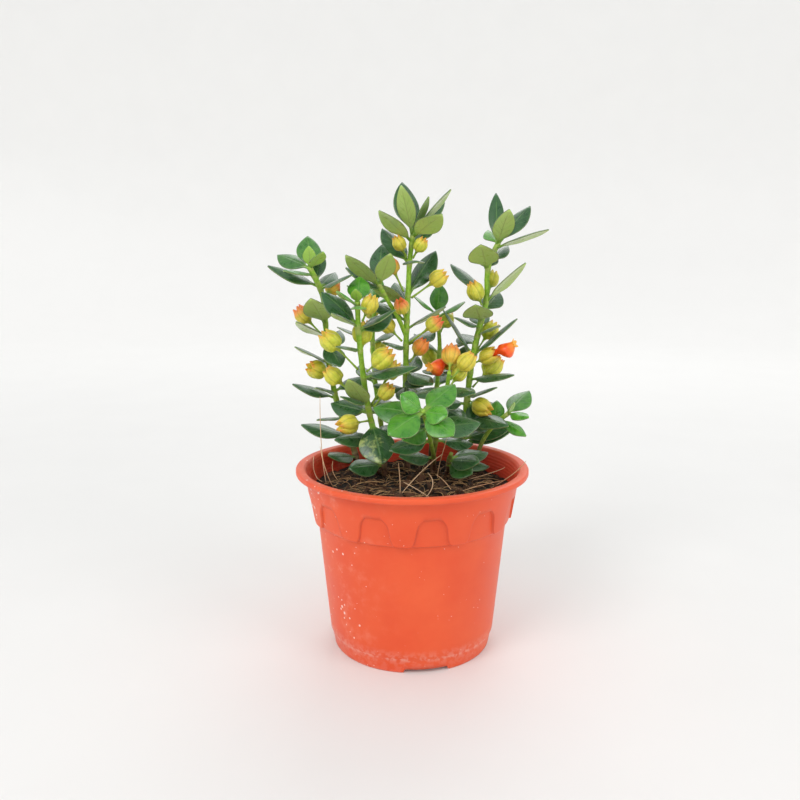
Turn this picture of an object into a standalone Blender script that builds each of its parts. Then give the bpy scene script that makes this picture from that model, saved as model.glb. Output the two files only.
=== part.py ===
"""A goldfish plant in its thin plastic nursery pot.

The pot, the soil, every leafy stem and every bloom are separate closed pieces.
All figures are millimetres, given to Blender in metres. The origin is the middle
of the pot's underside, +Z is up and the side seen in the photograph faces -Y.
"""

import math

import bmesh
import bpy
import numpy as np
from mathutils import Vector
from mathutils.bvhtree import BVHTree

MM = 0.001
GAP = 0.3

RIM_RADIUS = 70.0
RIM_TOP = 110.5
LIP_UNDER = 107.3
COLLAR_TOP_RADIUS = 64.6
COLLAR_FOOT_RADIUS = 60.2
TAB_BOTTOM = 80.0
WINDOW_TOP = 96.2
WINDOW_COUNT = 12
WINDOW_DEPTH = 1.3
FIRST_WINDOW = 10.2
BODY_TOP_RADIUS = 57.2
CREASE_RADIUS = 50.0
CREASE_HEIGHT = 9.0
FOOT_RADIUS = 48.0
FLOOR_UNDER = 3.2
FLOOR_TOP = 4.6
POT_STEPS = 36

NOTCH_COUNT = 3
FIRST_NOTCH = 10.4
NOTCH_WIDTH = 26.0
NOTCH_HEIGHT = 2.4
DRAIN_COUNT = 6
DRAIN_RADIUS = 4.0
DRAIN_RING = 30.0

SOIL_TOP = 97.5
SOIL_STEPS = 20
STEM_FOOT = 82.0
STEM_SIDES = 6

# Each stem: its path above the soil, the radius at the foot and at the tip.
STEM_PATHS = {
    "stem_left": ([(-39, 43, 112), (-44, 39, 126), (-49, 33, 145), (-52, 22, 170),
                   (-52, 12, 187), (-52, 0, 213), (-59, -8, 229)], 2.0, 1.4),
    "stem_left_centre": ([(-22, 14, 122), (-26, 8, 139), (-29, -2, 164),
                          (-31, -12, 191), (-31, -18, 210)], 2.0, 1.4),
    "stem_centre": ([(-4, 31, 132), (-4, 27, 165), (-4, 26, 182), (-3, 24, 206),
                     (-2, 21, 231), (0, 19, 247)], 2.1, 1.4),
    "stem_right": ([(35, 42, 136), (38, 40, 168), (43, 37, 193), (47, 36, 208),
                    (46, 35, 226), (49, 34, 236), (53, 33, 243)], 2.1, 1.4),
    "stem_centre_right": ([(17, 22, 134), (21, 8, 155), (22, 2, 167)], 1.7, 1.2),
    "stem_front": ([(14, 18, 107), (13, 8, 116), (9, -14, 136),
                    (6, -30, 150)], 1.6, 1.1),
    "stem_far_right": ([(45, 36, 117), (54, 33, 130), (61, 30, 136)], 1.6, 1.2),
    "stem_low_right": ([(22, 14, 107), (24, 6, 116)], 1.5, 1.2),
    "stem_back_left": ([(-20, 46, 122), (-24, 46, 150), (-26, 45, 178),
                        (-24, 43, 205)], 1.8, 1.2),
    "stem_back_right": ([(14, 46, 120), (16, 46, 150), (18, 45, 176),
                         (16, 43, 198)], 1.8, 1.2),
}

# Where each stem stands in the soil.
STEM_FEET = {
    "stem_left": (-36, 41), "stem_left_centre": (-17, 20), "stem_centre": (-3, 33),
    "stem_right": (31, 42), "stem_centre_right": (13, 34), "stem_front": (14, 24),
    "stem_far_right": (41, 35), "stem_low_right": (23, 20),
    "stem_back_left": (-18, 46), "stem_back_right": (12, 46),
}

# The branch that leaves the centre stem, fused into it.
BRANCH_PATH = [(-4, 26, 186), (-9, 20, 199), (-16, 12, 210), (-20, 6, 219)]
BRANCH_RADII = (1.4, 1.1)

# Leaves of each stem: height of the joint, turn about +Z, rise, length, width, and how
# far the blade is rolled: 0 looks to the sky, 1 to the front, -1 shows its underside.
LEAVES = {
    "stem_left": [
        (228, 101, 55, 24, 13, 0), (228, 152, 22, 25, 12, 0.8),
        (217, 190, 28, 32, 12, 0.45), (224, 225, 14, 21, 11, 0.15),
        (228, 305, 37, 18, 9, 0.1), (220, 88, 62, 22, 8, 0.3), (228, 270, 80, 13, 7, -0.4),
        (217, 66, 29, 20, 10, 0.4), (216, 326, 26, 24, 11, 0.35),
        (195, 256, 40, 29, 15, -0.6), (185, 213, 30, 31, 12, 0.12),
        (184, 297, -27, 24, 12, 0.5),
        (169, 214, 29, 27, 12, 0.15), (145, 194, 26, 29, 12, 0.3),
        (149, 240, 23, 20, 11, 0.3), (131, 233, 13, 24, 11, -0.3),
        (117, 183, 21, 33, 13, 0.4), (107, 124, 23, 22, 12, 0.6),
        (104, 218, 18, 24, 13, 0.5), (200, 60, 28, 22, 11, 0.2),
        (178, 75, 30, 24, 12, 0.2), (160, 110, 25, 24, 12, 0.2),
        (150, 25, 25, 24, 12, 0.4), (130, 60, 25, 24, 12, 0.3)],
    "stem_left_centre": [
        (209, 88, 51, 20, 12, 0.1), (207, 230, 36, 18, 11, 0.4), (207, 310, 23, 16, 8, 0),
        (209, 264, 60, 10, 6, -0.3), (196, 160, 36, 28, 14, 0.8),
        (195, 219, 30, 22, 10, 0.1), (193, 337, 34, 26, 11, 0.3),
        (192, 40, 30, 22, 13, 0.6), (181, 231, 17, 20, 9, 0.2), (164, 2, 19, 35, 13, 0.4),
        (163, 34, 10, 22, 12, 0.4), (145, 205, 49, 29, 13, -0.45),
        (146, 211, 33, 22, 10, 0.3), (146, 3, 20, 31, 15, 0.6),
        (141, 158, 12, 27, 14, 0.8), (135, 289, -41, 30, 20, 0.9),
        (105, 200, 0, 24, 14, 0.7), (124, 200, 6, 26, 13, 0.5),
        (140, 60, 8, 24, 12, 0.5)],
    "stem_centre": [
        (247, 113, 68, 36, 15, 0), (247, 243, 66, 32, 10, -0.6),
        (247, 305, 74, 25, 9, 0.3), (247, 328, 51, 36, 11, 0.2),
        (246, 26, 49, 30, 10, 0.3), (246, 315, 32, 28, 14, -0.9),
        (241, 42, 41, 22, 10, 0.3), (243, 217, 32, 30, 12, -0.35),
        (230, 150, 52, 29, 14, 0.6), (211, 25, 59, 33, 15, 0.7),
        (231, 282, 7, 22, 12, 0.3), (205, 208, 36, 29, 13, -0.45),
        (190, 357, 28, 28, 12, -0.3), (180, 344, 21, 26, 13, 0.3),
        (178, 227, 20, 21, 11, 0.3), (195, 162, 26, 28, 12, 0.5),
        (205, 121, 29, 20, 12, 0.4), (163, 304, -3, 28, 13, 0.4),
        (153, 50, -10, 28, 14, 0.5), (166, 131, -2, 26, 13, 0.5),
        (128, 125, -10, 28, 14, 0.5), (123, 38, 2, 28, 14, 0.6),
        (206, 105, 35, 24, 12, 0.2), (160, 80, 30, 25, 12, 0.2),
        (152, 215, 15, 24, 12, 0.4), (134, 325, 4, 28, 14, 0.5),
        (128, 235, 6, 26, 13, 0.5), (154, 238, -3, 30, 13, 0.8),
        (159, 300, -1, 20, 12, 0.5), (142, 134, -10, 28, 13, 0.5),
        (201, 134, -5, 24, 12, 0.4)],
    "stem_right": [
        (241, 88, 67, 37, 9, 0), (241, 287, 54, 28, 12, -0.9), (242, 25, 50, 33, 13, 0.5),
        (239, 332, 24, 36, 11, -0.15), (242, 109, 34, 18, 10, 0.4),
        (227, 254, 38, 27, 17, -0.6), (231, 47, 32, 22, 10, 0.3),
        (209, 177, 41, 35, 11, 0.2), (206, 327, 49, 36, 11, -0.15),
        (200, 54, 35, 23, 13, 0.6), (194, 256, 32, 27, 17, -0.6),
        (190, 219, 25, 22, 11, 0.4), (171, 193, 43, 36, 13, 0.25),
        (171, 356, 37, 38, 13, 0.25), (179, 110, 16, 24, 14, 0.7),
        (185, 312, 28, 20, 9, 0.2), (156, 334, 16, 32, 12, 0.35),
        (144, 309, 27, 28, 12, 0.3), (140, 28, -2, 26, 13, 0.5),
        (161, 230, 14, 24, 11, 0.3), (116, 334, 21, 34, 13, 0.6),
        (113, 343, 12, 36, 13, 0.5), (226, 80, 35, 24, 12, 0.2),
        (190, 85, 30, 24, 12, 0.2), (168, 100, 25, 22, 12, 0.2),
        (140, 200, 12, 26, 13, 0.5), (132, 324, -3, 36, 14, 0.6),
        (142, 310, -13, 24, 13, 0.6)],
    "stem_centre_right": [
        (156, 217, 0, 24, 12, 0.4), (156, 314, 5, 22, 12, 0.4),
        (134, 308, -4, 26, 13, 0.5),
        (119, 23, -8, 26, 13, 0.5), (146, 250, 0, 24, 14, 0.6),
        (128, 200, 5, 26, 14, 0.6)],
    "stem_front": [
        (149, 205, 41, 17, 13, 1.4), (149, 321, 3, 16, 12, 1.2),
        (149, 40, 32, 28, 15, 0.7), (149, 220, -18, 26, 16, 0.9),
        (148, 314, -18, 24, 15, 0.9), (146, 165, 9, 31, 16, 0.8),
        (136, 226, -6, 20, 14, 0.8), (126, 213, 0, 28, 12, 0.6),
        (111, 213, 15, 25, 13, 0.5), (135, 10, 9, 32, 15, 0.8)],
    "stem_far_right": [
        (135, 48, 30, 29, 14, 0.45), (136, 309, 6, 17, 9, 0.6), (136, 318, 66, 9, 5, 0),
        (132, 327, -21, 20, 9, 0.5), (129, 80, 49, 18, 10, 0.3)],
    "stem_low_right": [
        (110, 311, 13, 25, 13, 0.8), (112, 31, 4, 30, 12, 0.5),
        (107, 314, -12, 20, 13, 0.9), (108, 14, -4, 28, 10, 0.5)],
    "stem_back_left": [
        (204, 90, 70, 22, 11, 0), (204, 200, 40, 22, 11, 0), (203, 20, 35, 22, 11, 0),
        (180, 160, 25, 26, 12, -0.3), (178, 45, 25, 24, 12, -0.3),
        (152, 120, 30, 24, 13, -0.3), (128, 60, 20, 24, 13, -0.3),
        (165, 300, 5, 26, 14, 0.6), (140, 250, 5, 26, 14, 0.6)],
    "stem_back_right": [
        (197, 80, 70, 22, 11, 0), (197, 180, 45, 20, 11, 0), (196, 350, 35, 20, 11, 0),
        (174, 40, 25, 26, 12, -0.3), (172, 140, 30, 24, 12, -0.3),
        (150, 70, 30, 24, 13, -0.3), (126, 130, 20, 24, 13, -0.3),
        (163, 250, 5, 26, 14, 0.6), (138, 310, 5, 28, 14, 0.6)],
}

# Leaves of the branch, fused into the centre stem with it.
BRANCH_LEAVES = [
    (217, 219, 42, 31, 12, -0.5), (219, 79, 55, 28, 12, 0.3), (218, 293, 51, 26, 11, -0.4),
    (213, 200, 43, 27, 11, 0.4)]

# Blooms of each stem: height of the joint, turn, rise, length with stalk, kind, size.
BLOOMS = {
    "stem_left": [
        (185, 184, 47, 24, "calyx_red", 0.95), (160, 226, 26, 17, "calyx", 1.05),
        (211, 60, 28, 14, "calyx_orange", 0.8)],
    "stem_left_centre": [
        (166, 207, 46, 32, "calyx", 1.1), (169, 259, 70, 22, "calyx", 1.1),
        (166, 338, 39, 21, "calyx", 1.15), (144, 178, 43, 32, "calyx", 1),
        (143, 349, 60, 31, "calyx", 1), (141, 339, 55, 20, "calyx", 0.9),
        (136, 217, -2, 22, "calyx", 1.1), (193, 322, 60, 17, "calyx", 0.9)],
    "stem_centre": [
        (231, 219, 56, 15, "calyx", 0.75), (230, 317, 51, 15, "calyx", 0.75),
        (208, 342, 35, 27, "calyx", 0.95), (208, 197, 64, 23, "calyx_orange", 0.85),
        (193, 254, 47, 18, "calyx_red", 0.85), (180, 190, 47, 20, "calyx_red", 0.9),
        (180, 340, 37, 26, "calyx_red", 0.9), (166, 331, 54, 18, "calyx_orange", 0.9)],
    "stem_right": [
        (201, 217, 59, 17, "calyx", 1), (208, 66, 57, 16, "calyx", 0.85),
        (171, 31, 51, 23, "calyx", 1), (166, 335, 28, 17, "open", 1),
        (148, 353, 46, 27, "calyx", 1.2), (143, 316, -15, 18, "calyx", 1.1),
        (172, 224, -5, 25, "open", 1.1)],
    "stem_centre_right": [
        (164, 80, 50, 20, "calyx_orange", 1.05), (160, 27, 58, 21, "calyx", 1),
        (154, 11, 60, 17, "calyx", 0.85)],
    "stem_back_left": [
        (190, 100, 45, 17, "calyx", 0.9), (165, 75, 40, 18, "calyx", 1)],
    "stem_back_right": [
        (185, 60, 40, 17, "calyx", 0.9), (160, 120, 40, 18, "calyx", 1)],
}

# The outline of a leaf: share of the length, half width as a share of the widest.
LEAF_STATIONS = [(0.0, 0.13), (0.17, 0.15), (0.33, 0.76), (0.58, 1.0),
                 (0.84, 0.62), (1.0, 0.07)]
SMALL_LEAF_STATIONS = [(0.0, 0.13), (0.17, 0.17), (0.42, 0.92), (0.76, 0.80), (1.0, 0.07)]
SMALL_LEAF = 29.5
LEAF_FULLNESS = 1.1
LEAF_EDGE = 0.8
LEAF_MIDDLE = 1.5
LEAF_DROOP = 0.10
LEAF_FOLD = 0.2

# A bloom of size 1: the length of its cup and its greatest half width.
CUP_LENGTH = 14.0
CUP_HALF = 5.6

# From the stem's skin to the middle of a bloom's stalk: the first that is clear is used.
STALK_STARTS = (0.4, 0.6, 0.8, 1.0, 1.2, 1.5, 1.8)

# How far a leaf is turned aside, in degrees, to come clear of its neighbours.
ASIDE_STEPS = (0, 7, 14, 21, 28, 36, 46)
ASIDE_WAYS = 8

POT_COLOUR = (0.89, 0.13, 0.06, 1.0)
SOIL_COLOUR = (0.03, 0.015, 0.009, 1.0)
LEAF_COLOUR = (0.06, 0.19, 0.04, 1.0)
CALYX_COLOUR = (0.55, 0.55, 0.05, 1.0)
CALYX_ORANGE_COLOUR = (0.80, 0.30, 0.03, 1.0)
CALYX_RED_COLOUR = (0.62, 0.30, 0.10, 1.0)
COROLLA_COLOUR = (0.95, 0.12, 0.02, 1.0)


def remove_everything():
    """Empty the file of objects."""
    for thing in list(bpy.data.objects):
        bpy.data.objects.remove(thing)


def new_collection(name):
    """A collection linked to the scene."""
    group = bpy.data.collections.new(name)
    bpy.context.scene.collection.children.link(group)
    return group


def material(name, colour, roughness):
    """A plain shader of one colour."""
    shade = bpy.data.materials.new(name)
    shade.use_nodes = True
    shader = shade.node_tree.nodes["Principled BSDF"]
    shader.inputs["Base Color"].default_value = colour
    shader.inputs["Roughness"].default_value = roughness
    shader.inputs["Metallic"].default_value = 0.0
    return shade


def add_object(name, points, faces, group, shade=None):
    """A mesh object from points in millimetres, its faces turned outward."""
    mesh = bpy.data.meshes.new(name)
    mesh.from_pydata([tuple(p) for p in np.asarray(points) * MM], [], faces)
    work = bmesh.new()
    work.from_mesh(mesh)
    bmesh.ops.recalc_face_normals(work, faces=work.faces)
    work.to_mesh(mesh)
    work.free()
    thing = bpy.data.objects.new(name, mesh)
    group.objects.link(thing)
    if shade:
        mesh.materials.append(shade)
    return thing


def revolve(name, profile, steps, group, shade=None):
    """Turn a profile of (radius, height) once about the Z axis."""
    mesh = bpy.data.meshes.new(name)
    points = [(radius * MM, 0.0, height * MM) for radius, height in profile]
    edges = [(i, i + 1) for i in range(len(points) - 1)]
    mesh.from_pydata(points, edges, [])
    thing = bpy.data.objects.new(name, mesh)
    group.objects.link(thing)
    screw = thing.modifiers.new("turn", "SCREW")
    screw.axis = "Z"
    screw.steps = steps
    screw.render_steps = steps
    screw.use_merge_vertices = True
    screw.merge_threshold = 0.0001
    screw.use_normal_calculate = True
    if shade:
        mesh.materials.append(shade)
    return thing


def boolean(thing, other, operation, solver="EXACT"):
    """Join or cut a thing with one object, as a live modifier."""
    step = thing.modifiers.new(other.name, "BOOLEAN")
    step.object = other
    step.operation = operation
    step.solver = solver


def as_mesh(thing):
    """The evaluated mesh of an object, as a new mesh."""
    graph = bpy.context.evaluated_depsgraph_get()
    return bpy.data.meshes.new_from_object(thing.evaluated_get(graph))


def smooth(thing):
    """Shade a piece smooth but for its sharp edges."""
    for face in thing.data.polygons:
        face.use_smooth = True
    thing.data.set_sharp_from_angle(angle=math.radians(40))


def settle(thing):
    """Apply all modifiers of a thing and shade it."""
    mesh = as_mesh(thing)
    thing.modifiers.clear()
    thing.data = mesh
    smooth(thing)
    return thing


# The pot.

def collar_radius(height):
    """Outer radius of the upper band at a height."""
    share = (height - TAB_BOTTOM) / (LIP_UNDER - TAB_BOTTOM)
    return COLLAR_FOOT_RADIUS + share * (COLLAR_TOP_RADIUS - COLLAR_FOOT_RADIUS)


def pot_profile():
    """Half section of the pot from the floor's middle, up inside, down outside."""
    inside = [(0.0, FLOOR_TOP), (46.0, FLOOR_TOP), (48.7, CREASE_HEIGHT + 0.6),
              (55.7, TAB_BOTTOM - 1.0), (58.0, TAB_BOTTOM + 3.0), (63.2, LIP_UNDER),
              (64.8, RIM_TOP - 0.5)]
    lip = [(65.4, RIM_TOP), (RIM_RADIUS - 0.7, RIM_TOP), (RIM_RADIUS, RIM_TOP - 0.7),
           (RIM_RADIUS, LIP_UNDER + 0.4), (RIM_RADIUS - 0.5, LIP_UNDER),
           (COLLAR_TOP_RADIUS, LIP_UNDER)]
    outside = [(COLLAR_FOOT_RADIUS, TAB_BOTTOM), (BODY_TOP_RADIUS, TAB_BOTTOM - 1.0),
               (CREASE_RADIUS + 0.4, CREASE_HEIGHT + 0.9), (CREASE_RADIUS, CREASE_HEIGHT),
               (FOOT_RADIUS, 0.0)]
    underside = [(FOOT_RADIUS - 2.4, 0.0), (FOOT_RADIUS - 2.6, FLOOR_UNDER),
                 (0.0, FLOOR_UNDER)]
    return inside + lip + outside + underside


def window_cutter(number, group):
    """One sunk panel between two tabs: narrow above, flared round the tabs below."""
    rows = [(WINDOW_TOP, 4.6), (WINDOW_TOP - 3.6, 7.4), (TAB_BOTTOM + 3.6, 8.9),
            (TAB_BOTTOM + 1.0, 9.9), (TAB_BOTTOM - 0.6, 12.0)]
    columns = 2
    middle = FIRST_WINDOW + number * 360.0 / WINDOW_COUNT
    across = np.linspace(-1.0, 1.0, columns + 1)
    points = []
    for grow in (-WINDOW_DEPTH, 4.0):
        for height, half in rows:
            angle = np.radians(middle + across * half)
            radius = collar_radius(height) + grow
            points += [(radius * math.sin(a), -radius * math.cos(a), height)
                       for a in angle]
    width = columns + 1
    sheet = width * len(rows)
    faces = []
    for side in (0, sheet):
        for row in range(len(rows) - 1):
            for column in range(columns):
                a = side + row * width + column
                faces.append((a, a + 1, a + width + 1, a + width))
    border = list(range(width)) + [width * (row + 1) - 1 for row in range(1, len(rows))]
    border += [sheet - 1 - column for column in range(1, width)]
    border += [width * row for row in range(len(rows) - 2, 0, -1)]
    for here, there in zip(border, border[1:] + border[:1]):
        faces.append((here, there, there + sheet, here + sheet))
    return add_object(f"cut_window_{number}", points, faces, group)


def box_cutter(name, size, place, turn, group):
    """A turned block that cuts."""
    work = bmesh.new()
    bmesh.ops.create_cube(work, size=1.0)
    bmesh.ops.scale(work, vec=Vector(size) * MM, verts=work.verts)
    mesh = bpy.data.meshes.new(name)
    work.to_mesh(mesh)
    work.free()
    thing = bpy.data.objects.new(name, mesh)
    thing.location = Vector(place) * MM
    thing.rotation_euler = (0.0, 0.0, math.radians(turn))
    group.objects.link(thing)
    return thing


def rod_cutter(name, radius, low, high, place, group, sides=12):
    """An upright round cutter."""
    work = bmesh.new()
    bmesh.ops.create_cone(work, cap_ends=True, segments=sides, radius1=radius * MM,
                          radius2=radius * MM, depth=(high - low) * MM)
    mesh = bpy.data.meshes.new(name)
    work.to_mesh(mesh)
    work.free()
    thing = bpy.data.objects.new(name, mesh)
    thing.location = Vector((place[0], place[1], (low + high) / 2)) * MM
    group.objects.link(thing)
    return thing


def build_pot(group, cutters):
    """The pot with its twelve sunk panels, foot notches and drain holes."""
    shade = material("red_plastic", POT_COLOUR, 0.35)
    pot = revolve("pot", pot_profile(), POT_STEPS, group, shade)
    for number in range(WINDOW_COUNT):
        boolean(pot, window_cutter(number, cutters), "DIFFERENCE")
    for number in range(NOTCH_COUNT):
        turn = FIRST_NOTCH + number * 360.0 / NOTCH_COUNT
        away = math.radians(turn)
        place = (47.0 * math.sin(away), -47.0 * math.cos(away), 0.0)
        size = (NOTCH_WIDTH, 14.0, 2 * NOTCH_HEIGHT)
        boolean(pot, box_cutter(f"cut_notch_{number}", size, place, turn, cutters),
                "DIFFERENCE")
    for number in range(DRAIN_COUNT):
        away = math.radians(60.0 * number)
        place = (DRAIN_RING * math.cos(away), DRAIN_RING * math.sin(away))
        boolean(pot, rod_cutter(f"cut_drain_{number}", DRAIN_RADIUS, 0.0, 8.0, place,
                                cutters), "DIFFERENCE")
    return settle(pot)


# The soil.

def soil_height(x, y):
    """Height of the soil's uneven top, all lumps and hollows within 1.5 mm."""
    coarse = 0.7 * np.sin(0.13 * x + 1.0) * np.cos(0.11 * y)
    fine = 0.5 * np.sin(0.37 * x - 0.21 * y) + 0.4 * np.cos(0.29 * x + 0.41 * y + 2.0)
    return SOIL_TOP + coarse + fine


def build_soil(group, cutters):
    """The filling of the pot, clear of the wall, with a hole for every stem."""
    rings = [(0.0, FLOOR_TOP + GAP), (45.5, FLOOR_TOP + GAP), (48.2, CREASE_HEIGHT + 0.6),
             (55.1, TAB_BOTTOM - 1.0), (57.4, TAB_BOTTOM + 3.0), (60.2, SOIL_TOP - 1.0)]
    top = [52.0, 42.0, 31.0, 20.0, 9.0]
    turn = np.linspace(0.0, 2 * math.pi, SOIL_STEPS, endpoint=False)
    points = [(0.0, 0.0, rings[0][1])]
    for radius, height in rings[1:]:
        points += [(radius * math.cos(a), radius * math.sin(a), height) for a in turn]
    for radius in top:
        for a in turn:
            x, y = radius * math.cos(a), radius * math.sin(a)
            points.append((x, y, float(soil_height(x, y))))
    points.append((0.0, 0.0, float(soil_height(0.0, 0.0))))
    count = len(rings) - 1 + len(top)
    faces = []
    for step in range(SOIL_STEPS):
        after = (step + 1) % SOIL_STEPS
        faces.append((0, 1 + after, 1 + step))
        for ring in range(count - 1):
            a = 1 + ring * SOIL_STEPS
            faces.append((a + step, a + after, a + SOIL_STEPS + after,
                          a + SOIL_STEPS + step))
        last = 1 + (count - 1) * SOIL_STEPS
        faces.append((last + step, last + after, len(points) - 1))
    shade = material("potting_soil", SOIL_COLOUR, 0.95)
    soil = add_object("soil", points, faces, group, shade)
    for name, (x, y) in STEM_FEET.items():
        radius = STEM_PATHS[name][1] + GAP + 0.05
        cutter = rod_cutter("cut_" + name, radius, STEM_FOOT - GAP, 110.0, (x, y), cutters)
        boolean(soil, cutter, "DIFFERENCE")
    return settle(soil)


# Stems, leaves and blooms as plain shapes.

def unit(vector):
    """The same direction with a length of one."""
    return vector / np.linalg.norm(vector)


def direction(turn, rise):
    """Unit vector from a turn about +Z and a rise above the level, in degrees."""
    a, b = math.radians(turn), math.radians(rise)
    return np.array([math.cos(b) * math.cos(a), math.cos(b) * math.sin(a), math.sin(b)])


def face_normal(turn, rise):
    """The way a leaf's upper face looks: square to its length, toward the sky."""
    a, b = math.radians(turn), math.radians(rise)
    return np.array([-math.sin(b) * math.cos(a), -math.sin(b) * math.sin(a), math.cos(b)])


def ring_faces(rings, size):
    """Faces of a closed skin over rings of equal size, capped at both ends."""
    faces = [tuple(range(size))[::-1]]
    for ring in range(rings - 1):
        for step in range(size):
            a = ring * size + step
            b = ring * size + (step + 1) % size
            faces.append((a, b, b + size))
            faces.append((a, b + size, a + size))
    last = (rings - 1) * size
    faces.append(tuple(range(last, last + size)))
    return faces


def tube(path, foot_radius, tip_radius, sides=STEM_SIDES):
    """A round stem that follows a path and thins evenly toward its tip."""
    path = np.asarray(path, float)
    along = np.gradient(path, axis=0)
    radii = np.linspace(foot_radius, tip_radius, len(path))
    turn = np.linspace(0.0, 2 * math.pi, sides, endpoint=False)
    points = []
    for place, way, radius in zip(path, along, radii):
        way = unit(way)
        across = unit(np.cross(way, (0.0, 1.0, 0.0)))
        other = np.cross(way, across)
        points += [place + radius * (math.cos(a) * across + math.sin(a) * other)
                   for a in turn]
    return np.array(points), ring_faces(len(path), sides)


def leaf(joint, turn, rise, length, width, roll, grow=0.0, first=0):
    """A thick blade on its petiole: six points a section, arched and a little folded.

    The joint lies on the middle of the stem, so the petiole is rooted in it.
    """
    way, up = direction(turn, rise), face_normal(turn, rise)
    pull = np.array([0.0, -roll, 0.0])
    up = unit(up + pull - way * np.dot(pull, way))
    side = np.cross(up, way)
    points = []
    stations = (SMALL_LEAF_STATIONS if length < SMALL_LEAF else LEAF_STATIONS)[first:]
    for share, half_share in stations:
        middle = joint + way * length * share - up * LEAF_DROOP * length * share ** 2
        half = max(half_share * width * LEAF_FULLNESS / 2, 0.8) + grow
        thick = (LEAF_MIDDLE / 2 + grow, LEAF_EDGE / 2 + grow)
        sink = LEAF_FOLD * half * min(1.0, 2.5 * share)
        edge = middle - up * sink
        points += [edge - side * half + up * thick[1], middle + up * thick[0],
                   edge + side * half + up * thick[1], edge + side * half - up * thick[1],
                   middle - up * thick[0], edge - side * half - up * thick[1]]
    return np.array(points), leaf_faces(len(stations))


def leaf_faces(rows):
    """Faces of a blade, split alike above and below so it keeps its thickness."""
    faces = [(0, 1, 4, 5), (1, 2, 3, 4)]
    for row in range(rows - 1):
        a, b = row * 6, row * 6 + 6
        for left, right in ((0, 1), (1, 2)):
            faces += [(a + left, b + left, b + right), (a + left, b + right, a + right)]
        for left, right in ((5, 4), (4, 3)):
            faces += [(a + left, b + right, b + left), (a + left, a + right, b + right)]
        faces += [(a + 2, b + 2, b + 3, a + 3), (a + 5, b + 5, b, a)]
    a = (rows - 1) * 6
    faces += [(a + 5, a + 4, a + 1, a), (a + 4, a + 3, a + 2, a + 1)]
    return faces


def bloom_frame(joint, turn, rise, clear):
    """Start point beside the stem and the three axes of a bloom."""
    way, up = direction(turn, rise), face_normal(turn, rise)
    side = np.cross(up, way)
    flat = math.hypot(way[0], way[1])
    return joint + way * clear / max(flat, 0.35), way, up, side


def skin(start, axes, rings, grow=0.0):
    """A closed skin over ten-sided rings: five teeth with five notches between them.

    Each ring gives reach and radius at its teeth, the same at its notches, and how far
    the whole ring sags.
    """
    way, up, side = axes
    points = []
    for tooth_reach, tooth_radius, notch_reach, notch_radius, sag in rings:
        for step in range(10):
            reach, radius = tooth_reach, tooth_radius
            if step % 2:
                reach, radius = notch_reach, notch_radius
            a = math.pi * step / 5
            spoke = math.cos(a) * up + math.sin(a) * side
            points.append(start + way * reach - up * sag + spoke * (radius + grow))
    return np.array(points), ring_faces(len(rings), 10)


def calyx_rings(length, kind, size):
    """Five sepals that stand as one ribbed cup, closed or open at its teeth."""
    cup, wide = CUP_LENGTH * size, CUP_HALF * size
    stalk = length - cup
    rings = [(0.0, 0.75, 0.0, 0.75, 0.0),
             (stalk, 0.85, stalk, 0.85, 0.0),
             (stalk + 0.25 * cup, 0.86 * wide, stalk + 0.25 * cup, 0.76 * wide, 0.0),
             (stalk + 0.6 * cup, wide, stalk + 0.6 * cup, 0.9 * wide, 0.0)]
    if kind == "open":
        return rings + [(stalk + cup, 0.6 * wide, stalk + 0.78 * cup, 0.78 * wide, 0.0),
                        (stalk + 0.45 * cup, 0.42 * wide) * 2 + (0.0,)]
    return rings + [(stalk + cup, 0.3 * wide, stalk + 0.86 * cup, 0.4 * wide, 0.0)]


def corolla_rings(length, size):
    """The orange pouch: a neck in the open calyx, a sagging belly, a small lobed beak."""
    mouth = length
    root = length - 0.5 * CUP_LENGTH * size
    return [(root, 1.7, root, 1.7, 0.0),
            (mouth, 1.9, mouth, 1.9, 0.0),
            (mouth + 2.8, 4.0, mouth + 2.8, 3.8, 0.6),
            (mouth + 6.2, 5.0, mouth + 6.2, 4.8, 2.1),
            (mouth + 9.5, 3.4, mouth + 9.5, 3.2, 1.3),
            (mouth + 11.4, 2.2, mouth + 11.4, 2.0, 0.3),
            (mouth + 13.2, 3.2, mouth + 12.2, 2.2, 0.0),
            (mouth + 11.8, 1.1, mouth + 11.8, 1.1, 0.2)]


# Placing.

def point_at(path, height):
    """The point of a rising path at a height."""
    path = np.asarray(path, float)
    return np.array([np.interp(height, path[:, 2], path[:, k]) for k in range(3)])


def radius_at(path, height, foot_radius, tip_radius):
    """Radius of a stem at a height."""
    heights = [point[2] for point in path]
    return float(np.interp(height, heights, np.linspace(foot_radius, tip_radius, len(path))))


def tree(points, faces):
    """A search tree over a shape's faces."""
    return BVHTree.FromPolygons([tuple(p) for p in points], faces, epsilon=0.0)


def clear_of(shape, others):
    """True where a shape meets none of the others."""
    return not any(shape.overlap(other) for other in others)


def aside(turn, rise):
    """The wanted direction first, then ones turned a little further aside."""
    yield turn, rise
    for step in ASIDE_STEPS[1:]:
        for way in range(ASIDE_WAYS):
            a = 2 * math.pi * way / ASIDE_WAYS
            yield turn + step * math.cos(a) / 0.8, rise + step * math.sin(a) * 0.7


def full_path(name):
    """A stem's path with the upright part that stands in the soil."""
    x, y = STEM_FEET[name]
    path = STEM_PATHS[name][0]
    return [(x, y, STEM_FOOT), (x, y, 101.0)] + path


def pot_guard():
    """Rim and soil as two plain shapes that leaves keep clear of."""
    turn = np.linspace(0.0, 2 * math.pi, 48, endpoint=False)
    sizes = [(0.1, 99.2), (62.5, 99.2), (64.0, RIM_TOP + 1.0), (71.0, RIM_TOP + 1.0),
             (71.0, 100.0)]
    points = [(r * math.cos(a), r * math.sin(a), z) for r, z in sizes for a in turn]
    return tree(points, ring_faces(len(sizes), 48))


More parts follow.
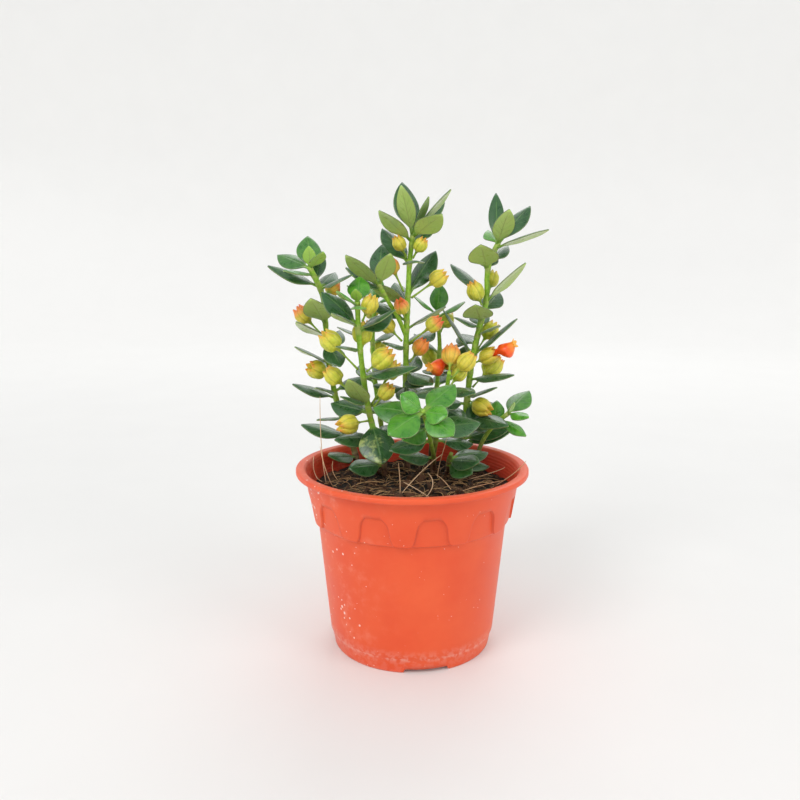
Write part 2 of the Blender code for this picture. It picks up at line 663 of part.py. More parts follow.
def place_bloom(joint, spec, stem_radius, others):
    """Find a direction in which a bloom meets nothing, and give its frame."""
    height, turn, rise, length, kind, size = spec
    for new_turn, new_rise in aside(turn, rise):
        for clear in STALK_STARTS:
            start, *axes = bloom_frame(joint, new_turn, new_rise, stem_radius + clear)
            shapes = [tree(*skin(start, axes, calyx_rings(length, kind, size), 0.2))]
            if kind == "open":
                shapes.append(tree(*skin(start, axes, corolla_rings(length, size))))
            if all(clear_of(shape, others) for shape in shapes):
                return start, axes, shapes
    return None


def place_leaf(joint, spec, others, same):
    """Find a direction in which a leaf meets nothing but the stem it grows from."""
    height, turn, rise, length, width, roll = spec
    for shrink in (1.0, 0.85, 0.7):
        for new_turn, new_rise in aside(turn, rise):
            size = (length * shrink, width * shrink, roll)
            whole = tree(*leaf(joint, new_turn, new_rise, *size, grow=0.25))
            blade = tree(*leaf(joint, new_turn, new_rise, *size, grow=0.1, first=2))
            if clear_of(whole, others) and clear_of(blade, same):
                return (new_turn, new_rise) + size
    return None


def all_stems():
    """Name, path and radii of every stem tube, the fused branch last."""
    rows = [(name, name, full_path(name), spec[1], spec[2])
            for name, spec in STEM_PATHS.items()]
    rows.append(("stem_centre", "branch", BRANCH_PATH) + BRANCH_RADII)
    return rows


def arrange():
    """Place every bloom and leaf and say where each one stands."""
    guard = pot_guard()
    thick = {label: (node, tree(*tube(path, foot + 0.15, tip + 0.15)))
             for node, label, path, foot, tip in all_stems()}
    blooms, bloom_trees, blades = [], [], []
    for node, label, path, foot, tip in all_stems():
        for number, spec in enumerate(BLOOMS.get(label, []), 1):
            others = [guard] + bloom_trees + [t for n, t in thick.values()]
            joint = point_at(path, spec[0])
            stem_radius = radius_at(path, spec[0], foot, tip)
            found = place_bloom(joint, spec, stem_radius, others)
            if found is None:
                print("no room for bloom", label, number)
                continue
            start, axes, shapes = found
            bloom_trees += shapes
            blooms.append((f"{label.replace('stem_', '')}_{number}", start, axes, spec))
    leaves = {}
    for node, label, path, foot, tip in all_stems():
        specs = BRANCH_LEAVES if label == "branch" else LEAVES[label]
        for number, spec in enumerate(specs, 1):
            others = [guard] + bloom_trees + [t for n, t in thick.values() if n != node]
            others += [whole for n, whole, blade in blades if n != node]
            same = [blade for n, whole, blade in blades if n == node]
            joint = point_at(path, spec[0])
            found = place_leaf(joint, spec, others, same)
            if found is None:
                print("no room for leaf", label, number)
                continue
            blades.append((node, tree(*leaf(joint, *found, grow=0.25)),
                           tree(*leaf(joint, *found, grow=0.1, first=2))))
            leaves.setdefault(node, []).append((joint,) + found)
    return leaves, blooms


# Nodes.

def fuse(name, shapes, group, shade, solver):
    """Join shapes into one body with one Boolean union, applied."""
    pieces = bpy.data.collections.new("pieces_" + name)
    bpy.context.scene.collection.children.link(pieces)
    body = add_object(name, *shapes[0], group, shade)
    for number, (points, faces) in enumerate(shapes[1:]):
        add_object(f"piece_{name}_{number}", points, faces, pieces, shade)
    step = body.modifiers.new("union", "BOOLEAN")
    step.operation = "UNION"
    step.operand_type = "COLLECTION"
    step.collection = pieces
    step.solver = solver
    mesh = as_mesh(body)
    body.modifiers.clear()
    body.data = mesh
    for thing in list(pieces.objects):
        bpy.data.objects.remove(thing)
    bpy.data.collections.remove(pieces)
    return body


def build_plant(group):
    """Every leafy stem and every bloom as its own body."""
    leaves, blooms = arrange()
    green = material("leaf_green", LEAF_COLOUR, 0.5)
    shades = {"calyx": material("calyx_yellow_green", CALYX_COLOUR, 0.5),
              "calyx_orange": material("calyx_orange", CALYX_ORANGE_COLOUR, 0.5),
              "calyx_red": material("calyx_red_tipped", CALYX_RED_COLOUR, 0.5)}
    shades["open"] = shades["calyx"]
    orange = material("corolla_orange", COROLLA_COLOUR, 0.4)
    for name in STEM_PATHS:
        shapes = [tube(path, foot, tip)
                  for node, label, path, foot, tip in all_stems() if node == name]
        shapes += [leaf(*row) for row in leaves[name]]
        smooth(fuse(name, shapes, group, green, "MANIFOLD"))
    for label, start, axes, spec in blooms:
        length, kind, size = spec[3:]
        points, faces = skin(start, axes, calyx_rings(length, kind, size))
        smooth(add_object("calyx_" + label, points, faces, group, shades[kind]))
        if kind == "open":
            points, faces = skin(start, axes, corolla_rings(length, size))
            smooth(add_object("corolla_" + label, points, faces, group, orange))


def main():
    """Build the whole object."""
    remove_everything()
    group = new_collection("goldfish_plant")
    cutters = new_collection("cutters")
    build_pot(group, cutters)
    build_soil(group, cutters)
    build_plant(group)
    for cutter in cutters.objects:
        cutter.hide_render = True
        cutter.display_type = "WIRE"


main()
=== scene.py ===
# %% [markdown]
# # A goldfish plant in its nursery pot
#
# The real thing is a small houseplant with thick paired leaves, puffy yellow-green
# calyces and a few orange pouch flowers, in a thin orange-red plastic pot. The solids
# are already made as faceted bodies. This lesson dresses them: every leaf, bloom, stem,
# the soil and the pot get finer surfaces of the same form, and a finish of their own.
# We work in millimetres, because that is how a plant is measured, and turn to metres
# only where a mesh is made.

# %% Load the frame
import math

import bpy
import numpy as np
from mathutils.bvhtree import BVHTree
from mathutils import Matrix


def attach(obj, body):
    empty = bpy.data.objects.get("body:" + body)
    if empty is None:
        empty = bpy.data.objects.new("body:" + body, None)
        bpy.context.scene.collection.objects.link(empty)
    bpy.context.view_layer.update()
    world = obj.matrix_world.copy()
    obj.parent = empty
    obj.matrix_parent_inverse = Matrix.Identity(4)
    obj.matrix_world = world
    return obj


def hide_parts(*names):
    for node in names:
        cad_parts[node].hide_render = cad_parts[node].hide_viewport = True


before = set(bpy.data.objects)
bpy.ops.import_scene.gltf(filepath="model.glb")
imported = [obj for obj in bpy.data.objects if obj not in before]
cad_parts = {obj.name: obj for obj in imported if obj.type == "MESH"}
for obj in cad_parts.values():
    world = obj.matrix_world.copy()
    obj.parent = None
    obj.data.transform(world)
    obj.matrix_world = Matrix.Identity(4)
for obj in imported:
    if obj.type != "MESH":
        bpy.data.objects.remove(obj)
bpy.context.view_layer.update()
MM = 0.001
draws = np.random.default_rng(20)
print("solids:", len(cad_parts))

# %% [markdown]
# ## Colours and nodes
#
# A colour is easiest to judge as the sRGB hex value one would pick from a swatch. The
# shaders want linear light, so one function turns one into the other. One small
# function adds any node with its settings and its links. A table tells it which, so a
# recipe can be read in plain words.

# %% Small tools for materials
def ink(code):
    """Linear RGBA of an sRGB hex code."""
    parts = np.array([int(code[i:i + 2], 16) for i in (0, 2, 4)]) / 255.0
    linear = np.where(parts <= 0.04045, parts / 12.92, ((parts + 0.055) / 1.055) ** 2.4)
    return (*[float(value) for value in linear], 1.0)


def feed(tree, node, feeds):
    """Give inputs, by name or number, a plain value or a link from an output."""
    for key, value in feeds.items():
        if isinstance(value, bpy.types.NodeSocket):
            tree.links.new(value, node.inputs[key])
        else:
            node.inputs[key].default_value = value


# The nodes used here: type, settings, the inputs that values go to, and the output taken.
NODES = {
    "place": ("TexCoord", {}, (), "Object"),
    "note": ("Attribute", {}, (), "Fac"),
    "across": ("SeparateXYZ", {}, (0,), 0),
    "high": ("SeparateXYZ", {}, (0,), 2),
    "far": ("VectorMath", {"operation": "LENGTH"}, (0,), "Value"),
    "noise": ("TexNoise", {}, ("Vector", "Scale", "Detail", "Roughness"), 0),
    "dots": ("TexVoronoi", {}, ("Vector", "Scale", "Randomness"), "Distance"),
    "rings": ("TexWave", {"bands_direction": "Z"}, ("Vector", "Scale", "Distortion"), 1),
    "times": ("Math", {"operation": "MULTIPLY"}, (0, 1), 0),
    "plus": ("Math", {"operation": "ADD"}, (0, 1), 0),
    "minus": ("Math", {"operation": "SUBTRACT"}, (0, 1), 0),
    "below": ("Math", {"operation": "LESS_THAN"}, (0, 1), 0),
    "larger": ("Math", {"operation": "MAXIMUM"}, (0, 1), 0),
    "size": ("Math", {"operation": "ABSOLUTE"}, (0,), 0),
    "sine": ("Math", {"operation": "SINE"}, (0,), 0),
    "span": ("MapRange", {"interpolation_type": "SMOOTHSTEP"}, (0, 1, 2, 3, 4), 0),
    "ramp": ("ValToRGB", {}, (0,), 0),
    "mix": ("Mix", {"data_type": "RGBA"}, (0, 6, 7), 2),
    "bump": ("Bump", {}, ("Height", "Distance"), 0),
}


def add(tree, name, *values, **settings):
    """Add one node with its settings and its links, and give the output that is used."""
    kind, fixed, inputs, output = NODES[name]
    made = tree.nodes.new("ShaderNode" + kind)
    for key, value in {**fixed, **settings}.items():
        setattr(made, key, value)
    feed(tree, made, dict(zip(inputs, values)))
    return made.outputs[output]


def new_finish(name):
    """A new material with its tree and its shader."""
    made = bpy.data.materials.new(name)
    made.use_nodes = True
    return made, made.node_tree, made.node_tree.nodes["Principled BSDF"]


def carried(tree, *names):
    """The values that a mesh carries on its points under these names."""
    return [add(tree, "note", attribute_name=name) for name in names]


def patches(tree, per_mm, detail=3.0, roughness=0.55):
    """Soft patches of a real size: noise on Object coordinates, so many a millimetre."""
    return add(tree, "noise", add(tree, "place"), per_mm / MM, detail, roughness)


def dapple(tree, pattern, first, second, low=0.3, high=0.7):
    """Two colours in patches, by a noise that runs mostly from low to high."""
    share = add(tree, "span", pattern, low, high)
    return add(tree, "mix", share, ink(first), ink(second))


def tint(tree, colour, mask, share, code):
    """A colour with a share of another laid over it where a mask is 1."""
    return add(tree, "mix", add(tree, "times", mask, share), colour, ink(code))


print("red plastic in linear light:", ink("E8583A"))

# %% [markdown]
# ## The pot's plastic
#
# A nursery pot is blown or pressed from a thin sheet of polypropylene. It is satin
# rather than glossy, lets a little light into itself, and is dusty: pale specks of
# dried water and fertiliser gather on one side and in the foot's crease. The inner
# wall is given its own darker, more saturated red: painted shade, since light
# reaches it only from above.

# %% Orange-red polypropylene
def make_polypropylene():
    """Satin moulded plastic: dust specks and a painted sheen on the left, dust in the crease, painted
    shade inside and along the panels' sides.
    """
    made, tree, shader = new_finish("moulded_polypropylene")
    inside, crease, edge = carried(tree, "inside", "crease", "edge")
    place = add(tree, "place")
    left = add(tree, "span", add(tree, "across", place), 0.0, -0.055)
    cloud = patches(tree, 0.03, detail=4.0)
    body = add(tree, "ramp", cloud)
    for point, stop, code in zip(body.node.color_ramp.elements, (0.3, 0.7),
                                 ("DF4C20", "E75C2E")):
        point.position = stop
        point.color = ink(code)
    # painted shade: the inner wall's own colour stands for the shade inside the pot
    body = add(tree, "mix", inside, body, ink("E84C30"))
    # painted sheen: pale pink patches on the lit left side stand for the lamp's sheen on the plastic
    left_sheen = add(tree, "span", patches(tree, 0.12, detail=6.0, roughness=0.7), 0.5, 0.75)
    body = tint(tree, body, add(tree, "times", left_sheen, left), 0.4, "EDA08C")
    specks = add(tree, "dots", place, 0.28 / MM, 1.0)
    patch = add(tree, "span", patches(tree, 0.05, detail=5.0, roughness=0.7), 0.42, 0.66)
    size = add(tree, "times", patch, add(tree, "plus", left, 0.4))
    size = add(tree, "times", size, add(tree, "minus", 1.0, inside))
    dot = add(tree, "below", specks, add(tree, "times", size, 0.21))
    body = tint(tree, body, dot, 0.75, "F7DCD2")
    dust = add(tree, "times", crease, add(tree, "span", patches(tree, 0.35), 0.4, 0.6))
    body = tint(tree, body, dust, 0.4, "EFC3B4")
    # painted shade: a darker red on the panels' side columns stands for the shade of their side walls
    body = tint(tree, body, edge, 0.6, "C63A1A")
    rings = add(tree, "rings", place, 0.16 / MM, 0.4)
    grain = add(tree, "times", patches(tree, 0.9, detail=2.0), 0.12)
    height = add(tree, "plus", grain, add(tree, "times", rings, inside))
    feed(tree, shader, {
        "Base Color": body, "Roughness": add(tree, "span", cloud, 0.3, 0.7, 0.36, 0.46),
        "Normal": add(tree, "bump", height, 0.14 * MM), "IOR": 1.49, "Subsurface Weight": 0.12,
        "Subsurface Radius": (1.0, 0.25, 0.1), "Subsurface Scale": 0.0015})
    return made


polypropylene = make_polypropylene()
print("made", polypropylene.name)

# %% [markdown]
# ## Leaf, stem, calyx and petal finishes
#
# A goldfish plant's leaf is thick and waxy. Old leaves are deep green with a grey
# sheen, a paler midrib and sunken side veins. Young ones are bright and yellow-green.
# The underside is pale, with a fine brownish edge and midrib. Each leaf's mesh carries
# where a point lies across (-1 to 1) and along (0 to 1) it, which side it is on, how
# old the leaf is, a random tone and whether it is blotched, and one material reads
# them all.

# %% Waxy leaf
VEIN_PAIRS, VEIN_SLANT = 7.0, 1.9


def make_waxy_leaf():
    """Thick green leaf, two-sided, aged by attribute.

    The side veins are the zeros of |sin(pi (pairs * along - slant * |across|))|.
    """
    made, tree, shader = new_finish("waxy_leaf")
    along, across, top, age, tone, pale = carried(tree, "along", "across", "top", "age",
                                                  "tone", "pale")
    side = add(tree, "size", across)
    mottle = patches(tree, 0.25, detail=4.0)
    fade = add(tree, "span", along, 0.98, 0.75)
    rib = add(tree, "times", add(tree, "span", side, 0.085, 0.02), fade)
    slant = add(tree, "minus", add(tree, "times", along, VEIN_PAIRS),
                  add(tree, "times", side, VEIN_SLANT))
    wave = add(tree, "size", add(tree, "sine", add(tree, "times", slant, math.pi)))
    vein = add(tree, "times", add(tree, "span", wave, 0.14, 0.0), fade)
    edge = add(tree, "span", side, 0.93, 1.0)
    old = tint(tree, dapple(tree, mottle, "1E4A22", "356331"), tone, 0.6, "2A5C2C")
    face = add(tree, "mix", age, dapple(tree, mottle, "3F8C16", "5FA822"), old)
    face = tint(tree, face, rib, 0.3, "7FA858")
    face = tint(tree, face, vein, 0.12, "7FA85A")
    face = tint(tree, face, edge, 0.4, "8FA86A")
    blotch = add(tree, "span", patches(tree, 0.14, detail=5.0, roughness=0.7), 0.49, 0.66)
    face = tint(tree, face, add(tree, "times", pale, blotch), 0.7, "BBCB74")
    back = add(tree, "mix", age, ink("A2C850"), ink("A9C266"))
    back = tint(tree, back, vein, 0.12, "8CA850")
    back = tint(tree, back, rib, 0.45, "8E9A50")
    back = tint(tree, back, edge, 0.75, "5A4A2A")
    petiole = add(tree, "span", along, 0.24, 0.12)
    sunk = add(tree, "minus", 1.0, add(tree, "larger", vein, rib))
    height = add(tree, "plus", sunk, add(tree, "times", patches(tree, 1.2, detail=3.0), 0.35))
    feed(tree, shader, {
        "Base Color": add(tree, "mix", petiole, add(tree, "mix", top, back, face), ink("7FA63A")),
        "Roughness": add(tree, "span", mottle, 0.3, 0.7, 0.26, 0.4),
        "Normal": add(tree, "bump", height, 0.16 * MM), "IOR": 1.45, "Subsurface Weight": 0.18,
        "Subsurface Radius": (0.35, 1.0, 0.15), "Subsurface Scale": 0.0012,
        "Sheen Weight": 0.15, "Sheen Roughness": 0.4, "Coat Weight": 0.4,
        "Coat Roughness": 0.22})
    return made


def make_stem_skin():
    """Green stem that turns woody brown low down, with pale rings at the joints."""
    made, tree, shader = new_finish("stem_skin")
    woody, ring = carried(tree, "woody", "ring")
    streak = patches(tree, 0.5, detail=5.0)
    skin = add(tree, "mix", woody, dapple(tree, streak, "78A822", "9CC63C"),
               dapple(tree, streak, "4A3426", "7A5A40"))
    feed(tree, shader, {
        "Base Color": tint(tree, skin, ring, 0.55, "B8A878"),
        "Normal": add(tree, "bump", streak, 0.25 * MM), "Roughness": 0.55, "Subsurface Weight": 0.1,
        "Subsurface Scale": 0.001})
    return made


waxy_leaf = make_waxy_leaf()
stem_skin = make_stem_skin()
print("made", waxy_leaf.name, "and", stem_skin.name)

# %% [markdown]
# The calyx is five fleshy sepals that stand together as a ribbed lantern. It is
# yellow-green, and flushes orange and then red toward the teeth as it ages. The flower
# itself is a waxy orange pouch, deeper on its back and yellower round its small mouth.

# %% Sepal and petal
def make_sepal(name, base, flush, tip, flush_from):
    """Fleshy sepal: base colours, then a flush toward the teeth, then the tips.

    The flush follows along + patches; across is 0 on a sepal's rib and 1 on its seam.
    """
    made, tree, shader = new_finish(name)
    along, across, tone, stalk = carried(tree, "along", "across", "tone", "stalk")
    side = add(tree, "size", across)
    mottle = patches(tree, 0.35, detail=4.0)
    colour = dapple(tree, mottle, *base, low=0.35)
    colour = tint(tree, colour, tone, 0.45, "DDB83E")
    patch = add(tree, "times", patches(tree, 0.12, detail=5.0, roughness=0.6), 0.5)
    reach = add(tree, "minus", add(tree, "plus", along, patch), 0.12)
    colour = add(tree, "mix", add(tree, "span", reach, flush_from, flush_from + 0.35), colour, ink(flush))
    colour = add(tree, "mix", add(tree, "span", reach, 0.98, 1.16), colour, ink(tip))
    colour = tint(tree, colour, add(tree, "span", side, 0.12, 0.0), 0.35, "8FA030")
    colour = tint(tree, colour, add(tree, "span", side, 0.82, 1.0), 0.35, "7C8420")
    feed(tree, shader, {
        "Base Color": add(tree, "mix", stalk, colour, ink("8FAE3C")),
        "Normal": add(tree, "bump", mottle, 0.25 * MM), "Roughness": 0.48, "Subsurface Weight": 0.35,
        "Subsurface Radius": (1.0, 0.8, 0.2), "Subsurface Scale": 0.002,
        "Sheen Weight": 0.1})
    return made


def make_petal():
    """Waxy orange pouch with a yellow mouth."""
    made, tree, shader = new_finish("waxy_petal")
    along, = carried(tree, "along")
    mottle = patches(tree, 0.4, detail=3.0)
    deep = dapple(tree, mottle, "F04A14", "FF6420")
    colour = add(tree, "mix", add(tree, "span", along, 0.62, 0.9), deep, ink("FF8A2E"))
    feed(tree, shader, {
        "Base Color": add(tree, "mix", add(tree, "span", along, 0.9, 1.0), colour, ink("FFB545")),
        "Normal": add(tree, "bump", mottle, 0.15 * MM), "Roughness": 0.36, "Subsurface Weight": 0.3,
        "Subsurface Radius": (1.0, 0.35, 0.1), "Subsurface Scale": 0.002})
    return made


sepals = {
    "calyx": make_sepal("fresh_sepal", ("B7C22E", "D8D84E"), "D9C040", "DC8A3A", 0.72),
    "calyx_orange": make_sepal("orange_sepal", ("D8B43C", "E8C04A"), "E58A32", "D95A26", 0.42),
    "calyx_red": make_sepal("red_tipped_sepal", ("BFC236", "D8CC4C"), "E0823C", "E0503C", 0.62),
}
waxy_petal = make_petal()
print("made", len(sepals), "sepal finishes and", waxy_petal.name)
sepals["open"] = sepals["calyx"]

# %% [markdown]
# ## Soil finishes
#
# Potting soil is peat, composted bark and coir. What the eye sees is a dark crumbly
# ground, lighter chunks of bark, and tan threads of fibre lying every way.

# %% Peat, bark, fibre and straw
def make_crumb(name, dark, light, roughness, by_piece=True):
    """A rough natural crumb between two colours, toned piece by piece if it can be."""
    made, tree, shader = new_finish(name)
    grains = patches(tree, 0.6, detail=6.0, roughness=0.7)
    share = add(tree, "span", grains, 0.35, 0.7)
    if by_piece:
        tone, = carried(tree, "tone")
        share = add(tree, "plus", add(tree, "times", share, 0.4), add(tree, "times", tone, 0.6))
    feed(tree, shader, {"Base Color": add(tree, "mix", share, ink(dark), ink(light)),
                        "Normal": add(tree, "bump", grains, 0.8 * MM), "Roughness": roughness})
    return made


peat = make_crumb("damp_peat", "0F0A07", "2C1E15", 0.95, by_piece=False)
bark = make_crumb("composted_bark", "170E09", "6E4A2E", 0.85)
fibre = make_crumb("coir_fibre", "5E4024", "DDB27C", 0.8)
straw = make_crumb("dry_straw", "C89668", "F0D2AC", 0.7)
print("made", peat.name, bark.name, fibre.name, straw.name)

# %% [markdown]
# ## The plan of the plant
#
# The leaves and blooms have to grow where the solids have them. So the plan is the
# solids' own: the path of each stem, and for each leaf and bloom the height of its
# joint, its turn about +Z, its rise and its size. The pot's main sizes are here too.

# %% Sizes of the pot
RIM_RADIUS, RIM_TOP, LIP_UNDER = 70.0, 110.5, 107.3
COLLAR_TOP_RADIUS, COLLAR_FOOT_RADIUS = 64.6, 60.2
TAB_BOTTOM, WINDOW_TOP, WINDOW_DEPTH = 80.0, 96.2, 1.3
WINDOW_COUNT, FIRST_WINDOW = 12, 10.2
BODY_TOP_RADIUS, CREASE_HEIGHT, FOOT_RADIUS = 57.2, 9.0, 48.0
FLOOR_UNDER, FLOOR_TOP, SOIL_TOP, STEM_FOOT = 3.2, 4.6, 97.5, 82.0
NOTCH_COUNT, FIRST_NOTCH, NOTCH_WIDTH, NOTCH_HEIGHT = 3, 10.4, 26.0, 2.4

# %% Paths of the stems
# Each stem: its path above the soil, the radius at the foot and at the tip.
STEM_PATHS = {
    "stem_left": ([(-39, 43, 112), (-44, 39, 126), (-49, 33, 145), (-52, 22, 170),
                   (-52, 12, 187), (-52, 0, 213), (-59, -8, 229)], 2.0, 1.4),
    "stem_left_centre": ([(-22, 14, 122), (-26, 8, 139), (-29, -2, 164),
                          (-31, -12, 191), (-31, -18, 210)], 2.0, 1.4),
    "stem_centre": ([(-4, 31, 132), (-4, 27, 165), (-4, 26, 182), (-3, 24, 206),
                     (-2, 21, 231), (0, 19, 247)], 2.1, 1.4),
    "stem_right": ([(35, 42, 136), (38, 40, 168), (43, 37, 193), (47, 36, 208),
                    (46, 35, 226), (49, 34, 236), (53, 33, 243)], 2.1, 1.4),
    "stem_centre_right": ([(17, 22, 134), (21, 8, 155), (22, 2, 167)], 1.7, 1.2),
    "stem_front": ([(14, 18, 107), (13, 8, 116), (9, -14, 136),
                    (6, -30, 150)], 1.6, 1.1),
    "stem_far_right": ([(45, 36, 117), (54, 33, 130), (61, 30, 136)], 1.6, 1.2),
    "stem_low_right": ([(22, 14, 107), (24, 6, 116)], 1.5, 1.2),
    "stem_back_left": ([(-20, 46, 122), (-24, 46, 150), (-26, 45, 178),
                        (-24, 43, 205)], 1.8, 1.2),
    "stem_back_right": ([(14, 46, 120), (16, 46, 150), (18, 45, 176),
                         (16, 43, 198)], 1.8, 1.2),
}

# Where each stem stands in the soil.
STEM_FEET = {
    "stem_left": (-36, 41), "stem_left_centre": (-17, 20), "stem_centre": (-3, 33),
    "stem_right": (31, 42), "stem_centre_right": (13, 34), "stem_front": (14, 24),
    "stem_far_right": (41, 35), "stem_low_right": (23, 20),
    "stem_back_left": (-18, 46), "stem_back_right": (12, 46),
}

# The branch that leaves the centre stem, fused into it.
BRANCH_PATH = [(-4, 26, 186), (-9, 20, 199), (-16, 12, 210), (-20, 6, 219)]
BRANCH_RADII = (1.4, 1.1)

# %% Leaves of the stems
# Leaves of each stem: height of the joint, turn about +Z, rise, length, width, and how
# far the blade is rolled: 0 looks to the sky, 1 to the front, -1 shows its underside.
LEAVES = {
    "stem_left": [
        (228, 101, 55, 24, 13, 0), (228, 152, 22, 25, 12, 0.8),
        (217, 190, 28, 32, 12, 0.45), (224, 225, 14, 21, 11, 0.15),
        (228, 305, 37, 18, 9, 0.1), (220, 88, 62, 22, 8, 0.3), (228, 270, 80, 13, 7, -0.4),
        (217, 66, 29, 20, 10, 0.4), (216, 326, 26, 24, 11, 0.35),
        (195, 256, 40, 29, 15, -0.6), (185, 213, 30, 31, 12, 0.12),
        (184, 297, -27, 24, 12, 0.5),
        (169, 214, 29, 27, 12, 0.15), (145, 194, 26, 29, 12, 0.3),
        (149, 240, 23, 20, 11, 0.3), (131, 233, 13, 24, 11, -0.3),
        (117, 183, 21, 33, 13, 0.4), (107, 124, 23, 22, 12, 0.6),
        (104, 218, 18, 24, 13, 0.5), (200, 60, 28, 22, 11, 0.2),
        (178, 75, 30, 24, 12, 0.2), (160, 110, 25, 24, 12, 0.2),
        (150, 25, 25, 24, 12, 0.4), (130, 60, 25, 24, 12, 0.3)],
    "stem_left_centre": [
        (209, 88, 51, 20, 12, 0.1), (207, 230, 36, 18, 11, 0.4), (207, 310, 23, 16, 8, 0),
        (209, 264, 60, 10, 6, -0.3), (196, 160, 36, 28, 14, 0.8),
        (195, 219, 30, 22, 10, 0.1), (193, 337, 34, 26, 11, 0.3),
        (192, 40, 30, 22, 13, 0.6), (181, 231, 17, 20, 9, 0.2), (164, 2, 19, 35, 13, 0.4),
        (163, 34, 10, 22, 12, 0.4), (145, 205, 49, 29, 13, -0.45),
        (146, 211, 33, 22, 10, 0.3), (146, 3, 20, 31, 15, 0.6),
        (141, 158, 12, 27, 14, 0.8), (135, 289, -41, 30, 20, 0.9),
        (105, 200, 0, 24, 14, 0.7), (124, 200, 6, 26, 13, 0.5),
        (140, 60, 8, 24, 12, 0.5)],
    "stem_centre": [
        (247, 113, 68, 36, 15, 0), (247, 243, 66, 32, 10, -0.6),
        (247, 305, 74, 25, 9, 0.3), (247, 328, 51, 36, 11, 0.2),
        (246, 26, 49, 30, 10, 0.3), (246, 315, 32, 28, 14, -0.9),
        (241, 42, 41, 22, 10, 0.3), (243, 217, 32, 30, 12, -0.35),
        (230, 150, 52, 29, 14, 0.6), (211, 25, 59, 33, 15, 0.7),
        (231, 282, 7, 22, 12, 0.3), (205, 208, 36, 29, 13, -0.45),
        (190, 357, 28, 28, 12, -0.3), (180, 344, 21, 26, 13, 0.3),
        (178, 227, 20, 21, 11, 0.3), (195, 162, 26, 28, 12, 0.5),
        (205, 121, 29, 20, 12, 0.4), (163, 304, -3, 28, 13, 0.4),
        (153, 50, -10, 28, 14, 0.5), (166, 131, -2, 26, 13, 0.5),
        (128, 125, -10, 28, 14, 0.5), (123, 38, 2, 28, 14, 0.6),
        (206, 105, 35, 24, 12, 0.2), (160, 80, 30, 25, 12, 0.2),
        (152, 215, 15, 24, 12, 0.4), (134, 325, 4, 28, 14, 0.5),
        (128, 235, 6, 26, 13, 0.5), (154, 238, -3, 30, 13, 0.8),
        (159, 300, -1, 20, 12, 0.5), (142, 134, -10, 28, 13, 0.5),
        (201, 134, -5, 24, 12, 0.4)],
    "stem_right": [
        (241, 88, 67, 37, 9, 0), (241, 287, 54, 28, 12, -0.9), (242, 25, 50, 33, 13, 0.5),
        (239, 332, 24, 36, 11, -0.15), (242, 109, 34, 18, 10, 0.4),
        (227, 254, 38, 27, 17, -0.6), (231, 47, 32, 22, 10, 0.3),
        (209, 177, 41, 35, 11, 0.2), (206, 327, 49, 36, 11, -0.15),
        (200, 54, 35, 23, 13, 0.6), (194, 256, 32, 27, 17, -0.6),
        (190, 219, 25, 22, 11, 0.4), (171, 193, 43, 36, 13, 0.25),
        (171, 356, 37, 38, 13, 0.25), (179, 110, 16, 24, 14, 0.7),
        (185, 312, 28, 20, 9, 0.2), (156, 334, 16, 32, 12, 0.35),
        (144, 309, 27, 28, 12, 0.3), (140, 28, -2, 26, 13, 0.5),
        (161, 230, 14, 24, 11, 0.3), (116, 334, 21, 34, 13, 0.6),
        (113, 343, 12, 36, 13, 0.5), (226, 80, 35, 24, 12, 0.2),
        (190, 85, 30, 24, 12, 0.2), (168, 100, 25, 22, 12, 0.2),
        (140, 200, 12, 26, 13, 0.5), (132, 324, -3, 36, 14, 0.6),
        (142, 310, -13, 24, 13, 0.6)],
    "stem_centre_right": [
        (156, 217, 0, 24, 12, 0.4), (156, 314, 5, 22, 12, 0.4),
        (134, 308, -4, 26, 13, 0.5),
        (119, 23, -8, 26, 13, 0.5), (146, 250, 0, 24, 14, 0.6),
        (128, 200, 5, 26, 14, 0.6)],
    "stem_front": [
        (149, 205, 41, 17, 13, 1.4), (149, 321, 3, 16, 12, 1.2),
        (149, 40, 32, 28, 15, 0.7), (149, 220, -18, 26, 16, 0.9),
        (148, 314, -18, 24, 15, 0.9), (146, 165, 9, 31, 16, 0.8),
        (136, 226, -6, 20, 14, 0.8), (126, 213, 0, 28, 12, 0.6),
        (111, 213, 15, 25, 13, 0.5), (135, 10, 9, 32, 15, 0.8)],
    "stem_far_right": [
        (135, 48, 30, 29, 14, 0.45), (136, 309, 6, 17, 9, 0.6), (136, 318, 66, 9, 5, 0),
        (132, 327, -21, 20, 9, 0.5), (129, 80, 49, 18, 10, 0.3)],
    "stem_low_right": [
        (110, 311, 13, 25, 13, 0.8), (112, 31, 4, 30, 12, 0.5),
        (107, 314, -12, 20, 13, 0.9), (108, 14, -4, 28, 10, 0.5)],
    "stem_back_left": [
        (204, 90, 70, 22, 11, 0), (204, 200, 40, 22, 11, 0), (203, 20, 35, 22, 11, 0),
        (180, 160, 25, 26, 12, -0.3), (178, 45, 25, 24, 12, -0.3),
        (152, 120, 30, 24, 13, -0.3), (128, 60, 20, 24, 13, -0.3),
        (165, 300, 5, 26, 14, 0.6), (140, 250, 5, 26, 14, 0.6)],
    "stem_back_right": [
        (197, 80, 70, 22, 11, 0), (197, 180, 45, 20, 11, 0), (196, 350, 35, 20, 11, 0),
        (174, 40, 25, 26, 12, -0.3), (172, 140, 30, 24, 12, -0.3),
        (150, 70, 30, 24, 13, -0.3), (126, 130, 20, 24, 13, -0.3),
        (163, 250, 5, 26, 14, 0.6), (138, 310, 5, 28, 14, 0.6)],
}

# Leaves of the branch, fused into the centre stem with it.
BRANCH_LEAVES = [
    (217, 219, 42, 31, 12, -0.5), (219, 79, 55, 28, 12, 0.3), (218, 293, 51, 26, 11, -0.4),
    (213, 200, 43, 27, 11, 0.4)]

